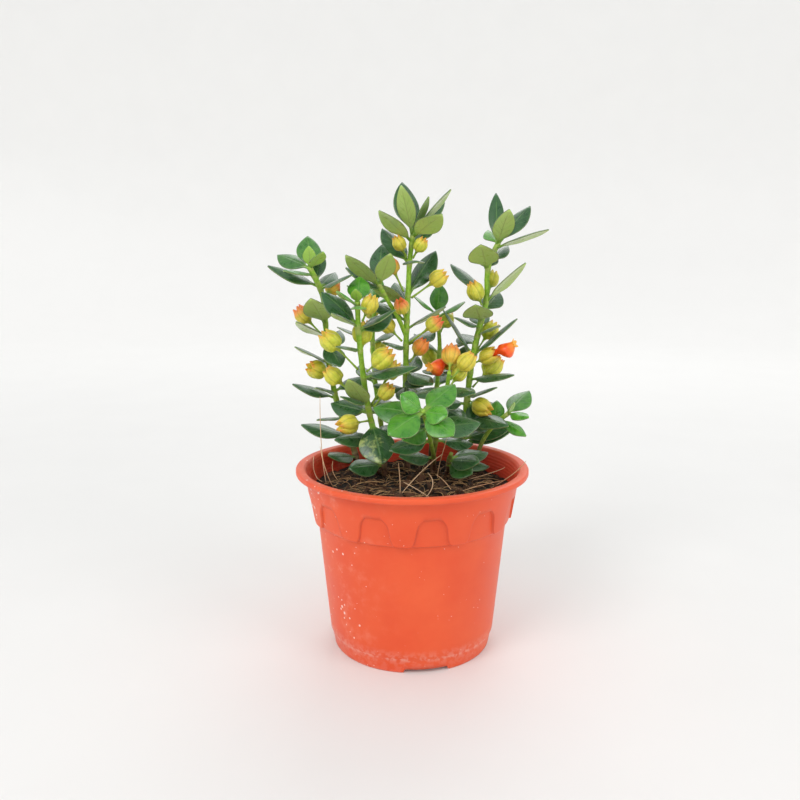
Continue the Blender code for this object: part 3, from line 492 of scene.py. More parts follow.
# %% Blooms of the stems
# Blooms of each stem: height of the joint, turn, rise, length with stalk, kind, size.
BLOOMS = {
    "stem_left": [
        (185, 184, 47, 24, "calyx_red", 0.95), (160, 226, 26, 17, "calyx", 1.05),
        (211, 60, 28, 14, "calyx_orange", 0.8)],
    "stem_left_centre": [
        (166, 207, 46, 32, "calyx", 1.1), (169, 259, 70, 22, "calyx", 1.1),
        (166, 338, 39, 21, "calyx", 1.15), (144, 178, 43, 32, "calyx", 1),
        (143, 349, 60, 31, "calyx", 1), (141, 339, 55, 20, "calyx", 0.9),
        (136, 217, -2, 22, "calyx", 1.1), (193, 322, 60, 17, "calyx", 0.9)],
    "stem_centre": [
        (231, 219, 56, 15, "calyx", 0.75), (230, 317, 51, 15, "calyx", 0.75),
        (208, 342, 35, 27, "calyx", 0.95), (208, 197, 64, 23, "calyx_orange", 0.85),
        (193, 254, 47, 18, "calyx_red", 0.85), (180, 190, 47, 20, "calyx_red", 0.9),
        (180, 340, 37, 26, "calyx_red", 0.9), (166, 331, 54, 18, "calyx_orange", 0.9)],
    "stem_right": [
        (201, 217, 59, 17, "calyx", 1), (208, 66, 57, 16, "calyx", 0.85),
        (171, 31, 51, 23, "calyx", 1), (166, 335, 28, 17, "open", 1),
        (148, 353, 46, 27, "calyx", 1.2), (143, 316, -15, 18, "calyx", 1.1),
        (172, 224, -5, 25, "open", 1.1)],
    "stem_centre_right": [
        (164, 80, 50, 20, "calyx_orange", 1.05), (160, 27, 58, 21, "calyx", 1),
        (154, 11, 60, 17, "calyx", 0.85)],
    "stem_back_left": [
        (190, 100, 45, 17, "calyx", 0.9), (165, 75, 40, 18, "calyx", 1)],
    "stem_back_right": [
        (185, 60, 40, 17, "calyx", 0.9), (160, 120, 40, 18, "calyx", 1)],
}

# %% Forms of a leaf and a bloom
# The outline of a leaf: share of the length, half width as a share of the widest.
LEAF_STATIONS = [(0.0, 0.13), (0.17, 0.15), (0.33, 0.76), (0.58, 1.0),
                 (0.84, 0.62), (1.0, 0.07)]
SMALL_LEAF_STATIONS = [(0.0, 0.13), (0.17, 0.17), (0.42, 0.92), (0.76, 0.80), (1.0, 0.07)]
# Leaves shorter than this have the second outline.
SMALL_LEAF = 29.5
# Width over the plan's, thickness at the edge and the middle, least half width.
LEAF_FULLNESS, LEAF_EDGE, LEAF_MIDDLE, LEAST_HALF = 1.1, 0.8, 1.5, 0.8
# Droop at the tip as a share of the length, and how deep the blade folds by its half
# width. The fold grows from nothing at the joint, at the given pace.
LEAF_DROOP, LEAF_FOLD, FOLD_PACE = 0.10, 0.2, 2.5

# A bloom of size 1: the length of its cup and its greatest half width.
CUP_LENGTH = 14.0
CUP_HALF = 5.6

# %% Steps of the placing rule
# From the stem's skin to the middle of a bloom's stalk: the first that is clear is used.
STALK_STARTS = (0.4, 0.6, 0.8, 1.0, 1.2, 1.5, 1.8)

# A steep bloom starts no further out than this least share of its way allows.
LEAST_FLAT = 0.35

# How far a leaf or bloom is turned aside, in degrees, to come clear of its neighbours,
# and the shares of that which go into its turn (divided) and its rise (multiplied).
ASIDE_STEPS = (7, 14, 21, 28, 36, 46)
ASIDE_WAYS = 8
TURN_EASE, RISE_EASE = 0.8, 0.7

# Shares of its size that a leaf may keep when its full size finds no room.
SHRINKS = (1.0, 0.85, 0.7)

# What a shape grows by, in mm, while it is tested: stem, calyx, whole leaf, bare blade.
STEM_GROW, CALYX_GROW, LEAF_GROW, BLADE_GROW = 0.15, 0.2, 0.25, 0.1

# The outline's station where the blade begins, past the petiole.
BLADE_FIRST = 2

# The height to which every stem stands upright, just above the soil.
STEM_UPRIGHT = 101.0

# %% [markdown]
# ## Placing by the same rule
#
# No real leaf grows through another. The solids were placed by a rule: each bloom, then
# each leaf, takes its wanted direction, and where it would meet something it is turned
# aside, a little at a time, until it is clear. We repeat that rule with the same plain
# shapes, so each fine leaf lands on its solid.

# %% Directions and closed skins
STEM_SIDES, GUARD_SIDES = 6, 48


def unit(vector):
    """The same direction with a length of one."""
    return vector / np.linalg.norm(vector)


def direction(turn, rise):
    """Unit vector from a turn about +Z and a rise above the level, in degrees."""
    a, b = math.radians(turn), math.radians(rise)
    return np.array([math.cos(b) * math.cos(a), math.cos(b) * math.sin(a), math.sin(b)])


def face_normal(turn, rise):
    """The way a leaf's upper face looks: square to its length, toward the sky."""
    a, b = math.radians(turn), math.radians(rise)
    return np.array([-math.sin(b) * math.cos(a), -math.sin(b) * math.sin(a), math.cos(b)])


def ring_faces(rings, size):
    """Faces of a closed skin over rings of equal size, capped at both ends."""
    faces = [tuple(range(size))[::-1]]
    for ring in range(rings - 1):
        for step in range(size):
            a = ring * size + step
            b = ring * size + (step + 1) % size
            faces.append((a, b, b + size))
            faces.append((a, b + size, a + size))
    last = (rings - 1) * size
    faces.append(tuple(range(last, last + size)))
    return faces


def tube(path, foot_radius, tip_radius):
    """A round stem that follows a path and thins evenly toward its tip."""
    path = np.asarray(path, float)
    along = np.gradient(path, axis=0)
    radii = np.linspace(foot_radius, tip_radius, len(path))
    turn = np.linspace(0.0, 2 * math.pi, STEM_SIDES, endpoint=False)
    points = []
    for place, way, radius in zip(path, along, radii):
        way = unit(way)
        across = unit(np.cross(way, (0.0, 1.0, 0.0)))
        other = np.cross(way, across)
        points += [place + radius * (math.cos(a) * across + math.sin(a) * other)
                   for a in turn]
    return np.array(points), ring_faces(len(path), STEM_SIDES)


def leaf_axes(turn, rise, roll):
    """Along the leaf, up from its face and across it. Roll pulls the face to the front."""
    way, up = direction(turn, rise), face_normal(turn, rise)
    pull = np.array([0.0, -roll, 0.0])
    up = unit(up + pull - way * np.dot(pull, way))
    return way, up, np.cross(up, way)


def leaf(joint, turn, rise, length, width, roll, grow=0.0, first=0):
    """A thick blade on its petiole: six points a section, arched and a little folded.

    The joint lies on the middle of the stem, so the petiole is rooted in it.
    """
    way, up, side = leaf_axes(turn, rise, roll)
    points = []
    stations = (SMALL_LEAF_STATIONS if length < SMALL_LEAF else LEAF_STATIONS)[first:]
    for share, half_share in stations:
        middle = joint + way * length * share - up * LEAF_DROOP * length * share ** 2
        half = max(half_share * width * LEAF_FULLNESS / 2, LEAST_HALF) + grow
        thick = (LEAF_MIDDLE / 2 + grow, LEAF_EDGE / 2 + grow)
        sink = LEAF_FOLD * half * min(1.0, FOLD_PACE * share)
        edge = middle - up * sink
        points += [edge - side * half + up * thick[1], middle + up * thick[0],
                   edge + side * half + up * thick[1], edge + side * half - up * thick[1],
                   middle - up * thick[0], edge - side * half - up * thick[1]]
    return np.array(points), leaf_faces(len(stations))


def leaf_faces(rows):
    """Faces of a blade, split alike above and below so it keeps its thickness."""
    faces = [(0, 1, 4, 5), (1, 2, 3, 4)]
    for row in range(rows - 1):
        a, b = row * 6, row * 6 + 6
        for left, right in ((0, 1), (1, 2)):
            faces += [(a + left, b + left, b + right), (a + left, b + right, a + right)]
        for left, right in ((5, 4), (4, 3)):
            faces += [(a + left, b + right, b + left), (a + left, a + right, b + right)]
        faces += [(a + 2, b + 2, b + 3, a + 3), (a + 5, b + 5, b, a)]
    a = (rows - 1) * 6
    faces += [(a + 5, a + 4, a + 1, a), (a + 4, a + 3, a + 2, a + 1)]
    return faces


def bloom_frame(joint, turn, rise, clear):
    """Start point beside the stem and the three axes of a bloom."""
    way, up = direction(turn, rise), face_normal(turn, rise)
    side = np.cross(up, way)
    flat = math.hypot(way[0], way[1])
    return joint + way * clear / max(flat, LEAST_FLAT), way, up, side


def skin(start, axes, rings, grow=0.0):
    """A closed skin over ten-sided rings: five teeth with five notches between them.

    Each ring gives reach and radius at its teeth, the same at its notches, and how far
    the whole ring sags.
    """
    way, up, side = axes
    points = []
    for tooth_reach, tooth_radius, notch_reach, notch_radius, sag in rings:
        for step in range(10):
            reach, radius = tooth_reach, tooth_radius
            if step % 2:
                reach, radius = notch_reach, notch_radius
            a = math.pi * step / 5
            spoke = math.cos(a) * up + math.sin(a) * side
            points.append(start + way * reach - up * sag + spoke * (radius + grow))
    return np.array(points), ring_faces(len(rings), 10)


def calyx_rings(length, kind, size):
    """Five sepals that stand as one ribbed cup, closed or open at its teeth."""
    cup, wide = CUP_LENGTH * size, CUP_HALF * size
    stalk = length - cup
    rings = [(0.0, 0.75, 0.0, 0.75, 0.0),
             (stalk, 0.85, stalk, 0.85, 0.0),
             (stalk + 0.25 * cup, 0.86 * wide, stalk + 0.25 * cup, 0.76 * wide, 0.0),
             (stalk + 0.6 * cup, wide, stalk + 0.6 * cup, 0.9 * wide, 0.0)]
    if kind == "open":
        return rings + [(stalk + cup, 0.6 * wide, stalk + 0.78 * cup, 0.78 * wide, 0.0),
                        (stalk + 0.45 * cup, 0.42 * wide) * 2 + (0.0,)]
    return rings + [(stalk + cup, 0.3 * wide, stalk + 0.86 * cup, 0.4 * wide, 0.0)]


def corolla_rings(length, size):
    """The orange pouch: a neck in the open calyx, a sagging belly, a small lobed beak."""
    mouth, root = length, length - 0.5 * CUP_LENGTH * size
    return [(root, 1.7, root, 1.7, 0.0),
            (mouth, 1.9, mouth, 1.9, 0.0),
            (mouth + 2.8, 4.0, mouth + 2.8, 3.8, 0.6),
            (mouth + 6.2, 5.0, mouth + 6.2, 4.8, 2.1),
            (mouth + 9.5, 3.4, mouth + 9.5, 3.2, 1.3),
            (mouth + 11.4, 2.2, mouth + 11.4, 2.0, 0.3),
            (mouth + 13.2, 3.2, mouth + 12.2, 2.2, 0.0),
            (mouth + 11.8, 1.1, mouth + 11.8, 1.1, 0.2)]


# %% The placing rule
def point_at(path, height):
    """The point of a rising path at a height."""
    path = np.asarray(path, float)
    return np.array([np.interp(height, path[:, 2], path[:, k]) for k in range(3)])


def radius_at(path, height, foot_radius, tip_radius):
    """Radius of a stem at a height."""
    heights = [point[2] for point in path]
    return float(np.interp(height, heights, np.linspace(foot_radius, tip_radius, len(path))))


def search_tree(points, faces):
    """A search tree over a shape's faces."""
    return BVHTree.FromPolygons([tuple(p) for p in points], faces, epsilon=0.0)


def clear_of(shape, others):
    """True where a shape meets none of the others."""
    return not any(shape.overlap(other) for other in others)


def aside(turn, rise):
    """The wanted direction first, then ones turned a little further aside."""
    yield turn, rise
    for step in ASIDE_STEPS:
        for way in range(ASIDE_WAYS):
            a = 2 * math.pi * way / ASIDE_WAYS
            yield (turn + step * math.cos(a) / TURN_EASE,
                   rise + step * math.sin(a) * RISE_EASE)


def full_path(name):
    """A stem's path with the upright part that stands in the soil."""
    x, y = STEM_FEET[name]
    path = STEM_PATHS[name][0]
    return [(x, y, STEM_FOOT), (x, y, STEM_UPRIGHT)] + path


def pot_guard():
    """One plain shape over soil and rim, that leaves and blooms keep clear of.

    A half section of (radius, height) pairs is turned round the axis.
    """
    turn = np.linspace(0.0, 2 * math.pi, GUARD_SIDES, endpoint=False)
    sizes = [(0.1, 99.2), (62.5, 99.2), (64.0, RIM_TOP + 1.0), (71.0, RIM_TOP + 1.0),
             (71.0, 100.0)]
    points = [(r * math.cos(a), r * math.sin(a), z) for r, z in sizes for a in turn]
    return search_tree(points, ring_faces(len(sizes), GUARD_SIDES))


def place_bloom(joint, spec, stem_radius, others):
    """Find a direction in which a bloom meets nothing, and give its frame."""
    turn, rise, length, kind, size = spec[1:]
    for new_turn, new_rise in aside(turn, rise):
        for clear in STALK_STARTS:
            start, *axes = bloom_frame(joint, new_turn, new_rise, stem_radius + clear)
            cup = skin(start, axes, calyx_rings(length, kind, size), CALYX_GROW)
            shapes = [search_tree(*cup)]
            if kind == "open":
                pouch = skin(start, axes, corolla_rings(length, size))
                shapes.append(search_tree(*pouch))
            if all(clear_of(shape, others) for shape in shapes):
                return start, axes, shapes
    return None


def leaf_trees(joint, *form):
    """Search trees of a whole leaf and of its bare blade, both a little grown."""
    return (search_tree(*leaf(joint, *form, grow=LEAF_GROW)),
            search_tree(*leaf(joint, *form, grow=BLADE_GROW, first=BLADE_FIRST)))


def place_leaf(joint, spec, others, same):
    """Find a direction in which a leaf meets nothing but the stem it grows from.

    Where none is free, a smaller size of the leaf is tried.
    """
    turn, rise, length, width, roll = spec[1:]
    for shrink in SHRINKS:
        for new_turn, new_rise in aside(turn, rise):
            form = (new_turn, new_rise, length * shrink, width * shrink, roll)
            whole, blade = leaf_trees(joint, *form)
            if clear_of(whole, others) and clear_of(blade, same):
                return form
    return None


def all_stems():
    """Name, path and radii of every stem tube, the fused branch last."""
    rows = [(name, name, full_path(name), spec[1], spec[2])
            for name, spec in STEM_PATHS.items()]
    rows.append(("stem_centre", "branch", BRANCH_PATH) + BRANCH_RADII)
    return rows


def arrange():
    """Place every bloom and leaf and say where each one stands."""
    guard = pot_guard()
    stems = [(node, search_tree(*tube(path, foot + STEM_GROW, tip + STEM_GROW)))
             for node, label, path, foot, tip in all_stems()]
    blooms, bloom_trees, blades = [], [], []
    for node, label, path, foot, tip in all_stems():
        for number, spec in enumerate(BLOOMS.get(label, []), 1):
            others = [guard] + bloom_trees + [shape for owner, shape in stems]
            joint = point_at(path, spec[0])
            stem_radius = radius_at(path, spec[0], foot, tip)
            found = place_bloom(joint, spec, stem_radius, others)
            if found is None:
                print("no room for bloom", label, number)
                continue
            start, axes, shapes = found
            bloom_trees += shapes
            blooms.append((f"{label.replace('stem_', '')}_{number}", start, axes, spec))
    leaves = {}
    for node, label, path, foot, tip in all_stems():
        specs = BRANCH_LEAVES if label == "branch" else LEAVES[label]
        for number, spec in enumerate(specs, 1):
            others = [guard] + bloom_trees
            others += [shape for owner, shape in stems if owner != node]
            others += [whole for owner, whole, blade in blades if owner != node]
            same = [blade for owner, whole, blade in blades if owner == node]
            joint = point_at(path, spec[0])
            found = place_leaf(joint, spec, others, same)
            if found is None:
                print("no room for leaf", label, number)
                continue
            blades.append((node,) + leaf_trees(joint, *found))
            leaves.setdefault(node, []).append((joint,) + found)
    return leaves, blooms


# %% Place them all
plan_leaves, plan_blooms = arrange()
print("leaves:", sum(len(rows) for rows in plan_leaves.values()), "blooms:", len(plan_blooms))

# %% [markdown]
# ## From grids to meshes
#
# Every new piece is a surface worked out on a grid of two parameters. When the grid
# closes on itself one way, it is a skin: a tube, a leaf, a calyx. One function turns
# many such skins of equal grid size into one mesh at once, with an end cap on each.
# Each point can carry named values, which the materials read.

# %% Many closed skins to one mesh
def grid_quads(rows, columns):
    """Quads (r, c), (r, c+1), (r+1, c+1), (r+1, c) of a grid whose columns wrap round."""
    r, c = np.meshgrid(np.arange(rows - 1), np.arange(columns), indexing="ij")
    after = (c + 1) % columns
    return np.stack([r * columns + c, r * columns + after, (r + 1) * columns + after,
                     (r + 1) * columns + c], axis=-1).reshape(-1, 4)


def skins_to_mesh(name, skins, values, material):
    """One object from skins shaped (count, rows, columns, 3), in millimetres.

    The first and last rows of each skin are closed by a fan to their middle.
    """
    skins = np.asarray(skins, float)
    count, rows, columns, _ = skins.shape
    ends = skins[:, [0, -1]].mean(axis=2)
    points = np.concatenate([skins.reshape(count, -1, 3), ends], axis=1)
    size = rows * columns + 2
    ring = np.arange(columns)
    following = (ring + 1) % columns
    low = np.stack([following, ring, np.full(columns, size - 2)], axis=-1)
    base = (rows - 1) * columns
    high = np.stack([base + ring, base + following, np.full(columns, size - 1)], axis=-1)
    shift = np.arange(count)[:, None, None] * size
    all_quads = (grid_quads(rows, columns)[None] + shift).reshape(-1, 4)
    fans = (np.concatenate([low, high])[None] + shift).reshape(-1, 3)
    carried = {}
    for key, value in values.items():
        value = np.broadcast_to(value, skins.shape[:3])
        close = value[:, [0, -1]].mean(axis=2)
        carried[key] = np.concatenate([value.reshape(count, -1), close], axis=1).ravel()
    return make_mesh(name, points.reshape(-1, 3), all_quads, fans, carried, material)


def make_mesh(name, points, quads, triangles, carried, material):
    """A smooth-shaded object from arrays of points, four-sided and three-sided faces."""
    mesh = bpy.data.meshes.new(name)
    corners = np.concatenate([quads.ravel(), triangles.ravel()]).astype(np.int32)
    sizes = np.concatenate([np.full(len(quads), 4), np.full(len(triangles), 3)])
    mesh.vertices.add(len(points))
    mesh.vertices.foreach_set("co", (points * MM).astype(np.float32).ravel())
    mesh.loops.add(len(corners))
    mesh.loops.foreach_set("vertex_index", corners)
    mesh.polygons.add(len(sizes))
    starts = np.concatenate([[0], np.cumsum(sizes)[:-1]]).astype(np.int32)
    mesh.polygons.foreach_set("loop_start", starts)
    mesh.polygons.foreach_set("use_smooth", np.ones(len(sizes), bool))
    mesh.update(calc_edges=True)
    mesh.validate()
    for key, value in carried.items():
        layer = mesh.attributes.new(key, "FLOAT", "POINT")
        layer.data.foreach_set("value", np.asarray(value, np.float32))
    mesh.materials.append(material)
    made = bpy.data.objects.new(name, mesh)
    bpy.context.scene.collection.objects.link(made)
    turn_outward(mesh)
    return made


def turn_outward(mesh):
    """Flip every face if the mesh encloses a negative volume: the sum of a . (b x c)."""
    mesh.calc_loop_triangles()
    spots = np.empty(len(mesh.vertices) * 3, np.float32)
    mesh.vertices.foreach_get("co", spots)
    spots = spots.reshape(-1, 3).astype(float)
    corners = np.empty(len(mesh.loop_triangles) * 3, np.int32)
    mesh.loop_triangles.foreach_get("vertices", corners)
    a, b, c = (spots[corners.reshape(-1, 3)[:, k]] for k in range(3))
    if np.einsum("ij,ij->i", a, np.cross(b, c)).sum() < 0.0:
        mesh.flip_normals()


def dress(piece, node):
    """The piece stands for its solid: the solid is hidden, and the piece hangs from the root."""
    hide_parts(node)
    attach(piece, "root")
    return piece


# %% [markdown]
# ## The leaves
#
# A leaf blade is a lens with a groove. Its outline is half a wave raised to a power:
# blunt-pointed and widest a little past the middle. The section is a closed loop that
# runs over the top from edge to edge and back underneath, so the blade has its real
# thickness, with a thin rounded margin. The middle of the blade follows the same droop
# and fold as its solid, and a small ripple of its own keeps two leaves from matching.
# One leaf low on the front left, wider than all others, is blotched pale yellow.

# %% A fine leaf blade
LEAF_ROWS = 17
# The rows of a leaf, as shares of its length, a little closer at both ends.
LEAF_SHARES = np.linspace(0.0, 1.0, LEAF_ROWS)
LEAF_SHARES = LEAF_SHARES + 0.035 * np.sin(2 * math.pi * LEAF_SHARES)
# Depth in mm of the edge's ripple and of the groove, half thickness of margin and body.
RIPPLE, GROOVE, MARGIN, FLESH = 0.25, 0.22, 0.28, 0.42
# The petiole: where it ends, its half thickness, and the least half width of a leaf.
PETIOLE_END, PETIOLE_THICK, FINE_LEAST_HALF = 0.2, 0.75, 0.45
# Across the blade, half widths from the middle: over the top and back underneath.
ACROSS = np.array([-1.0, -0.94, -0.75, -0.5, -0.22, -0.06, 0.06, 0.22, 0.5, 0.75, 0.94, 1.0])
SECTION_U = np.concatenate([ACROSS, ACROSS[::-1]])
SECTION_TOP = np.repeat([1.0, 0.0], len(ACROSS))


def outline(share):
    """Half width: a petiole, then sin(pi b^0.9)^0.75 over the blade's own length b."""
    blade = np.clip((share - 0.15) / 0.85, 0.0, 1.0)
    wide = np.sin(math.pi * blade ** 0.9).clip(0.0) ** 0.75
    petiole = 0.17 * np.clip((1.02 - share) / 0.2, 0.15, 1.0)
    return np.maximum(wide, petiole)


def fine_leaf(row, tone):
    """Grid of one leaf: joint + way * length * along, plus side * half width * u, plus
    up * (half thickness, less the droop, the fold and the groove, plus the ripple).
    """
    joint, turn, rise, length, width, roll = row
    way, up, side = leaf_axes(turn, rise, roll)
    along, u = np.meshgrid(LEAF_SHARES, SECTION_U, indexing="ij")
    half = np.maximum(outline(along) * width * LEAF_FULLNESS / 2, FINE_LEAST_HALF)
    sink = LEAF_FOLD * half * np.minimum(1.0, FOLD_PACE * along) * np.abs(u) ** 1.5
    ripple = np.sin(9.0 * along + 6.28 * tone) * u ** 3 * np.sin(math.pi * along)
    ripple = RIPPLE * ripple
    groove = GROOVE * np.exp(-(u / 0.12) ** 2) * np.clip(1.1 - along, 0.0, 1.0)
    thick = MARGIN + FLESH * (1.0 - u ** 2) * np.clip(half / 3.0, 0.35, 1.0)
    petiole = np.maximum(thick, PETIOLE_THICK * (1.0 - 0.6 * u ** 2))
    thick = np.where(along < PETIOLE_END, petiole, thick)
    top = np.broadcast_to(SECTION_TOP, along.shape)
    lift = np.where(top > 0.5, thick - groove, -thick - 0.6 * groove) - sink + ripple
    droop = LEAF_DROOP * length * along ** 2
    spot = joint + way * (length * along)[..., None]
    return spot + side * (half * u)[..., None] + up * (lift - droop)[..., None]


# %% Ages of the leaves, and the leaves as pieces
# Over how many millimetres below its tip a stem's leaves turn from young to old. The low
# front shoot and the far right one are new growth, and their rosettes are bright.
AGEING_REACH = {"stem_front": 36.0, "stem_far_right": 30.0}
USUAL_REACH = 14.0
# Leaves this wide, in mm, are blotched.
PALE_WIDTH = 19.0


def leaf_ages(node, rows):
    """0 for a young leaf at the stem's tip, 1 for an old one well below it.

    Long leaves count as lower than they are: 1.2 mm for each millimetre over 18.
    """
    tip_height = max(point[2] for point in STEM_PATHS[node][0])
    depth = np.array([tip_height - row[0][2] for row in rows])
    length = np.array([row[3] for row in rows])
    reach = AGEING_REACH.get(node, USUAL_REACH)
    return np.clip((depth + 1.2 * (length - 18.0)) / reach, 0.0, 1.0)


def grow_leaves(node, rows):
    """All the leaves of one stem as one piece."""
    tones = draws.random(len(rows))
    skins = np.stack([fine_leaf(row, tone) for row, tone in zip(rows, tones)])
    ages = leaf_ages(node, rows)
    pale = np.array([row[4] >= PALE_WIDTH for row in rows], float)
    values = {"across": SECTION_U[None, None, :], "top": SECTION_TOP[None, None, :],
              "along": LEAF_SHARES[None, :, None], "age": ages[:, None, None],
              "tone": tones[:, None, None], "pale": pale[:, None, None]}
    piece = skins_to_mesh(node.replace("stem", "leaves"), skins, values, waxy_leaf)
    return dress(piece, node)


leaf_pieces = [grow_leaves(node, rows) for node, rows in plan_leaves.items()]
print("leaf pieces:", len(leaf_pieces),
      "faces:", sum(len(piece.data.polygons) for piece in leaf_pieces))

# %% [markdown]
# ## The stems
#
# A stem is a round tube carried along its path. The path is rounded where the plain one
# has corners, and the tube swells a little at each joint, where an old leaf has left a
# pale ring. Low down the skin turns brown and woody.

# %% Fine stems
STEM_COLUMNS = 14
# Half reach in mm of a joint's pale ring and of its swelling, and the swelling's height.
RING_REACH, SWELL_REACH, SWELL = 0.8, 2.0, 0.3
# Below this height the skin turns woody, fully so over this many millimetres.
WOODY_BELOW, WOODY_FADE = 128.0, 22.0


def smooth_path(path, step=1.6, reach=5):
    """Points every 1.6 mm or so along a path, each the average of its neighbours."""
    path = np.asarray(path, float)
    travel = np.concatenate([[0.0], np.cumsum(np.linalg.norm(np.diff(path, axis=0), axis=1))])
    places = np.linspace(0.0, travel[-1], int(travel[-1] / step) + 2)
    index = np.interp(places, travel, np.arange(len(path)))
    dense = np.stack([np.interp(places, travel, path[:, k]) for k in range(3)], axis=1)
    padded = np.pad(dense, ((reach, reach), (0, 0)), mode="reflect", reflect_type="odd")
    window = np.ones(2 * reach + 1) / (2 * reach + 1)
    soft = np.stack([np.convolve(padded[:, k], window, "valid") for k in range(3)], axis=1)
    return soft, index / (len(path) - 1)


def fine_stem(node, label, path, foot_radius, tip_radius, joints):
    """A tube round the smoothed path: centre + radius * (cos a, sin a) square to it.

    Ring and swelling follow exp(-(distance to the nearest joint / reach)^2).
    """
    soft, share = smooth_path(path)
    radius = foot_radius + (tip_radius - foot_radius) * share
    heights = soft[:, 2]
    from_joint = np.abs(heights[:, None] - joints[None]).min(axis=1)
    ring = np.exp(-(from_joint / RING_REACH) ** 2)
    radius = radius + SWELL * np.exp(-(from_joint / SWELL_REACH) ** 2)
    way = np.gradient(soft, axis=0)
    way /= np.linalg.norm(way, axis=1, keepdims=True)
    across = np.cross(way, (0.0, 1.0, 0.0))
    across /= np.linalg.norm(across, axis=1, keepdims=True)
    other = np.cross(way, across)
    a = np.linspace(0.0, 2 * math.pi, STEM_COLUMNS, endpoint=False)
    spoke = (np.cos(a)[None, :, None] * across[:, None] + np.sin(a)[None, :, None]
             * other[:, None])
    skin = soft[:, None] + radius[:, None, None] * spoke
    woody = np.clip((WOODY_BELOW - heights) / WOODY_FADE, 0.0, 1.0)
    values = {"woody": woody[None, :, None], "ring": (ring * 0.8)[None, :, None]}
    name = node.replace("stem", "stalk") + ("_branch" if label == "branch" else "")
    return dress(skins_to_mesh(name, skin[None], values, stem_skin), node)


stalk_pieces = []
for stem_node, stem_label, stem_path, stem_foot, stem_tip in all_stems():
    stem_specs = BRANCH_LEAVES if stem_label == "branch" else LEAVES[stem_label]
    stem_joints = np.array([spec[0] for spec in stem_specs], float)
    stalk_pieces.append(fine_stem(stem_node, stem_label, stem_path, stem_foot, stem_tip,
                                  stem_joints))
print("stalks:", len(stalk_pieces))

# %% [markdown]
# ## The blooms
#
# The solid calyx is drawn by a few rings of ten points: five at the middles of the
# sepals and five at the seams between them. We draw the same rings finer. Between
# rings the skin follows a smooth curve, and round the ring it passes from sepal to seam
# by a power that leaves each tooth pointed, each sepal bellied, each seam a crease.
# The orange pouch of an open bloom sags below its own line, as a goldfish's belly does.

# %% Fine calyces and flowers
PETAL_COLUMNS = 40
RING_STEPS = 5
# How sharply a tooth falls to its notch, and how deep the seam is, in mm.
SEPAL_SHARP, SEPAL_SEAM = 1.25, 0.3
PETAL_SHARP, PETAL_SEAM = 1.6, 0.15


def through(values):
    """A smooth curve through values: the Catmull-Rom blend, a few steps per stretch."""
    values = np.asarray(values, float)
    padded = np.concatenate([values[:1], values, values[-1:]])
    t = np.linspace(0.0, 1.0, RING_STEPS, endpoint=False)[None, :]
    a, b, c, d = (padded[k:len(padded) - 3 + k][:, None] for k in range(4))
    curve = 0.5 * (2 * b + (c - a) * t + (2 * a - 5 * b + 4 * c - d) * t ** 2
                   + (3 * b - a - 3 * c + d) * t ** 3)
    return np.concatenate([curve.ravel(), values[-1:]])


def fine_rings(start, axes, rings, sharp, seam):
    """Skin through the solid's rings, the reach of each point, and its fold: the share of
    the way round from a tooth (0) to a notch (1).

    Reach passes from tooth to notch by fold^sharp, and radius by fold^2.
    """
    way, up, side = axes
    tooth_reach, tooth_radius, notch_reach, notch_radius, sag = (
        through(column) for column in np.asarray(rings, float).T)
    a = np.linspace(0.0, 2 * math.pi, PETAL_COLUMNS, endpoint=False)
    fold = np.abs((a * 5 / (2 * math.pi) + 0.5) % 1.0 - 0.5) * 2.0
    reach = tooth_reach[:, None] + (notch_reach - tooth_reach)[:, None] * fold ** sharp
    radius = tooth_radius[:, None] + (notch_radius - tooth_radius)[:, None] * fold ** 2
    radius = np.maximum(radius - seam * (fold > 0.98) * (radius > 2.0), 0.55)
    spoke = np.cos(a)[:, None] * up + np.sin(a)[:, None] * side
    middle = start + reach[..., None] * way - sag[:, None, None] * up
    return middle + radius[..., None] * spoke, reach, np.broadcast_to(fold, reach.shape)


def crown_rings(length, kind, size):
    """The solid cup's rings, with its closed top drawn finer: teeth round a small pit."""
    rings = calyx_rings(length, kind, size)
    if kind == "open":
        return rings
    cup, wide = CUP_LENGTH * size, CUP_HALF * size
    stalk = length - cup
    top = [(stalk + 0.86 * cup, 0.68 * wide, stalk + 0.78 * cup, 0.62 * wide, 0.0),
           (stalk + cup, 0.46 * wide, stalk + 0.82 * cup, 0.40 * wide, 0.0),
           (stalk + 0.7 * cup, 0.2 * wide, stalk + 0.7 * cup, 0.2 * wide, 0.0)]
    return rings[:-1] + top


def grow_bloom(name, start, axes, spec):
    """The calyx of one bloom, and its orange pouch where it is open."""
    length, kind, size = spec[3:]
    cup = CUP_LENGTH * size
    stalk = length - cup
    crown = crown_rings(length, kind, size)
    points, reach, fold = fine_rings(start, axes, crown, SEPAL_SHARP, SEPAL_SEAM)
    values = {"along": np.clip((reach - stalk) / cup, 0.0, 1.0)[None], "across": fold[None],
              "stalk": np.clip((stalk + 1.6 - reach) / 1.2, 0.0, 1.0)[None],
              "tone": np.full((1, 1, 1), draws.random())}
    piece = skins_to_mesh("sepals_" + name, points[None], values, sepals[kind])
    made = [dress(piece, "calyx_" + name)]
    if kind == "open":
        pouch = corolla_rings(length, size)
        points, reach, _ = fine_rings(start, axes, pouch, PETAL_SHARP, PETAL_SEAM)
        along = np.clip((reach - length) / 12.0, 0.0, 1.0)[None]
        piece = skins_to_mesh("petals_" + name, points[None], {"along": along}, waxy_petal)
        made.append(dress(piece, "corolla_" + name))
    return made


bloom_pieces = [piece for row in plan_blooms for piece in grow_bloom(*row)]
print("bloom pieces:", len(bloom_pieces))

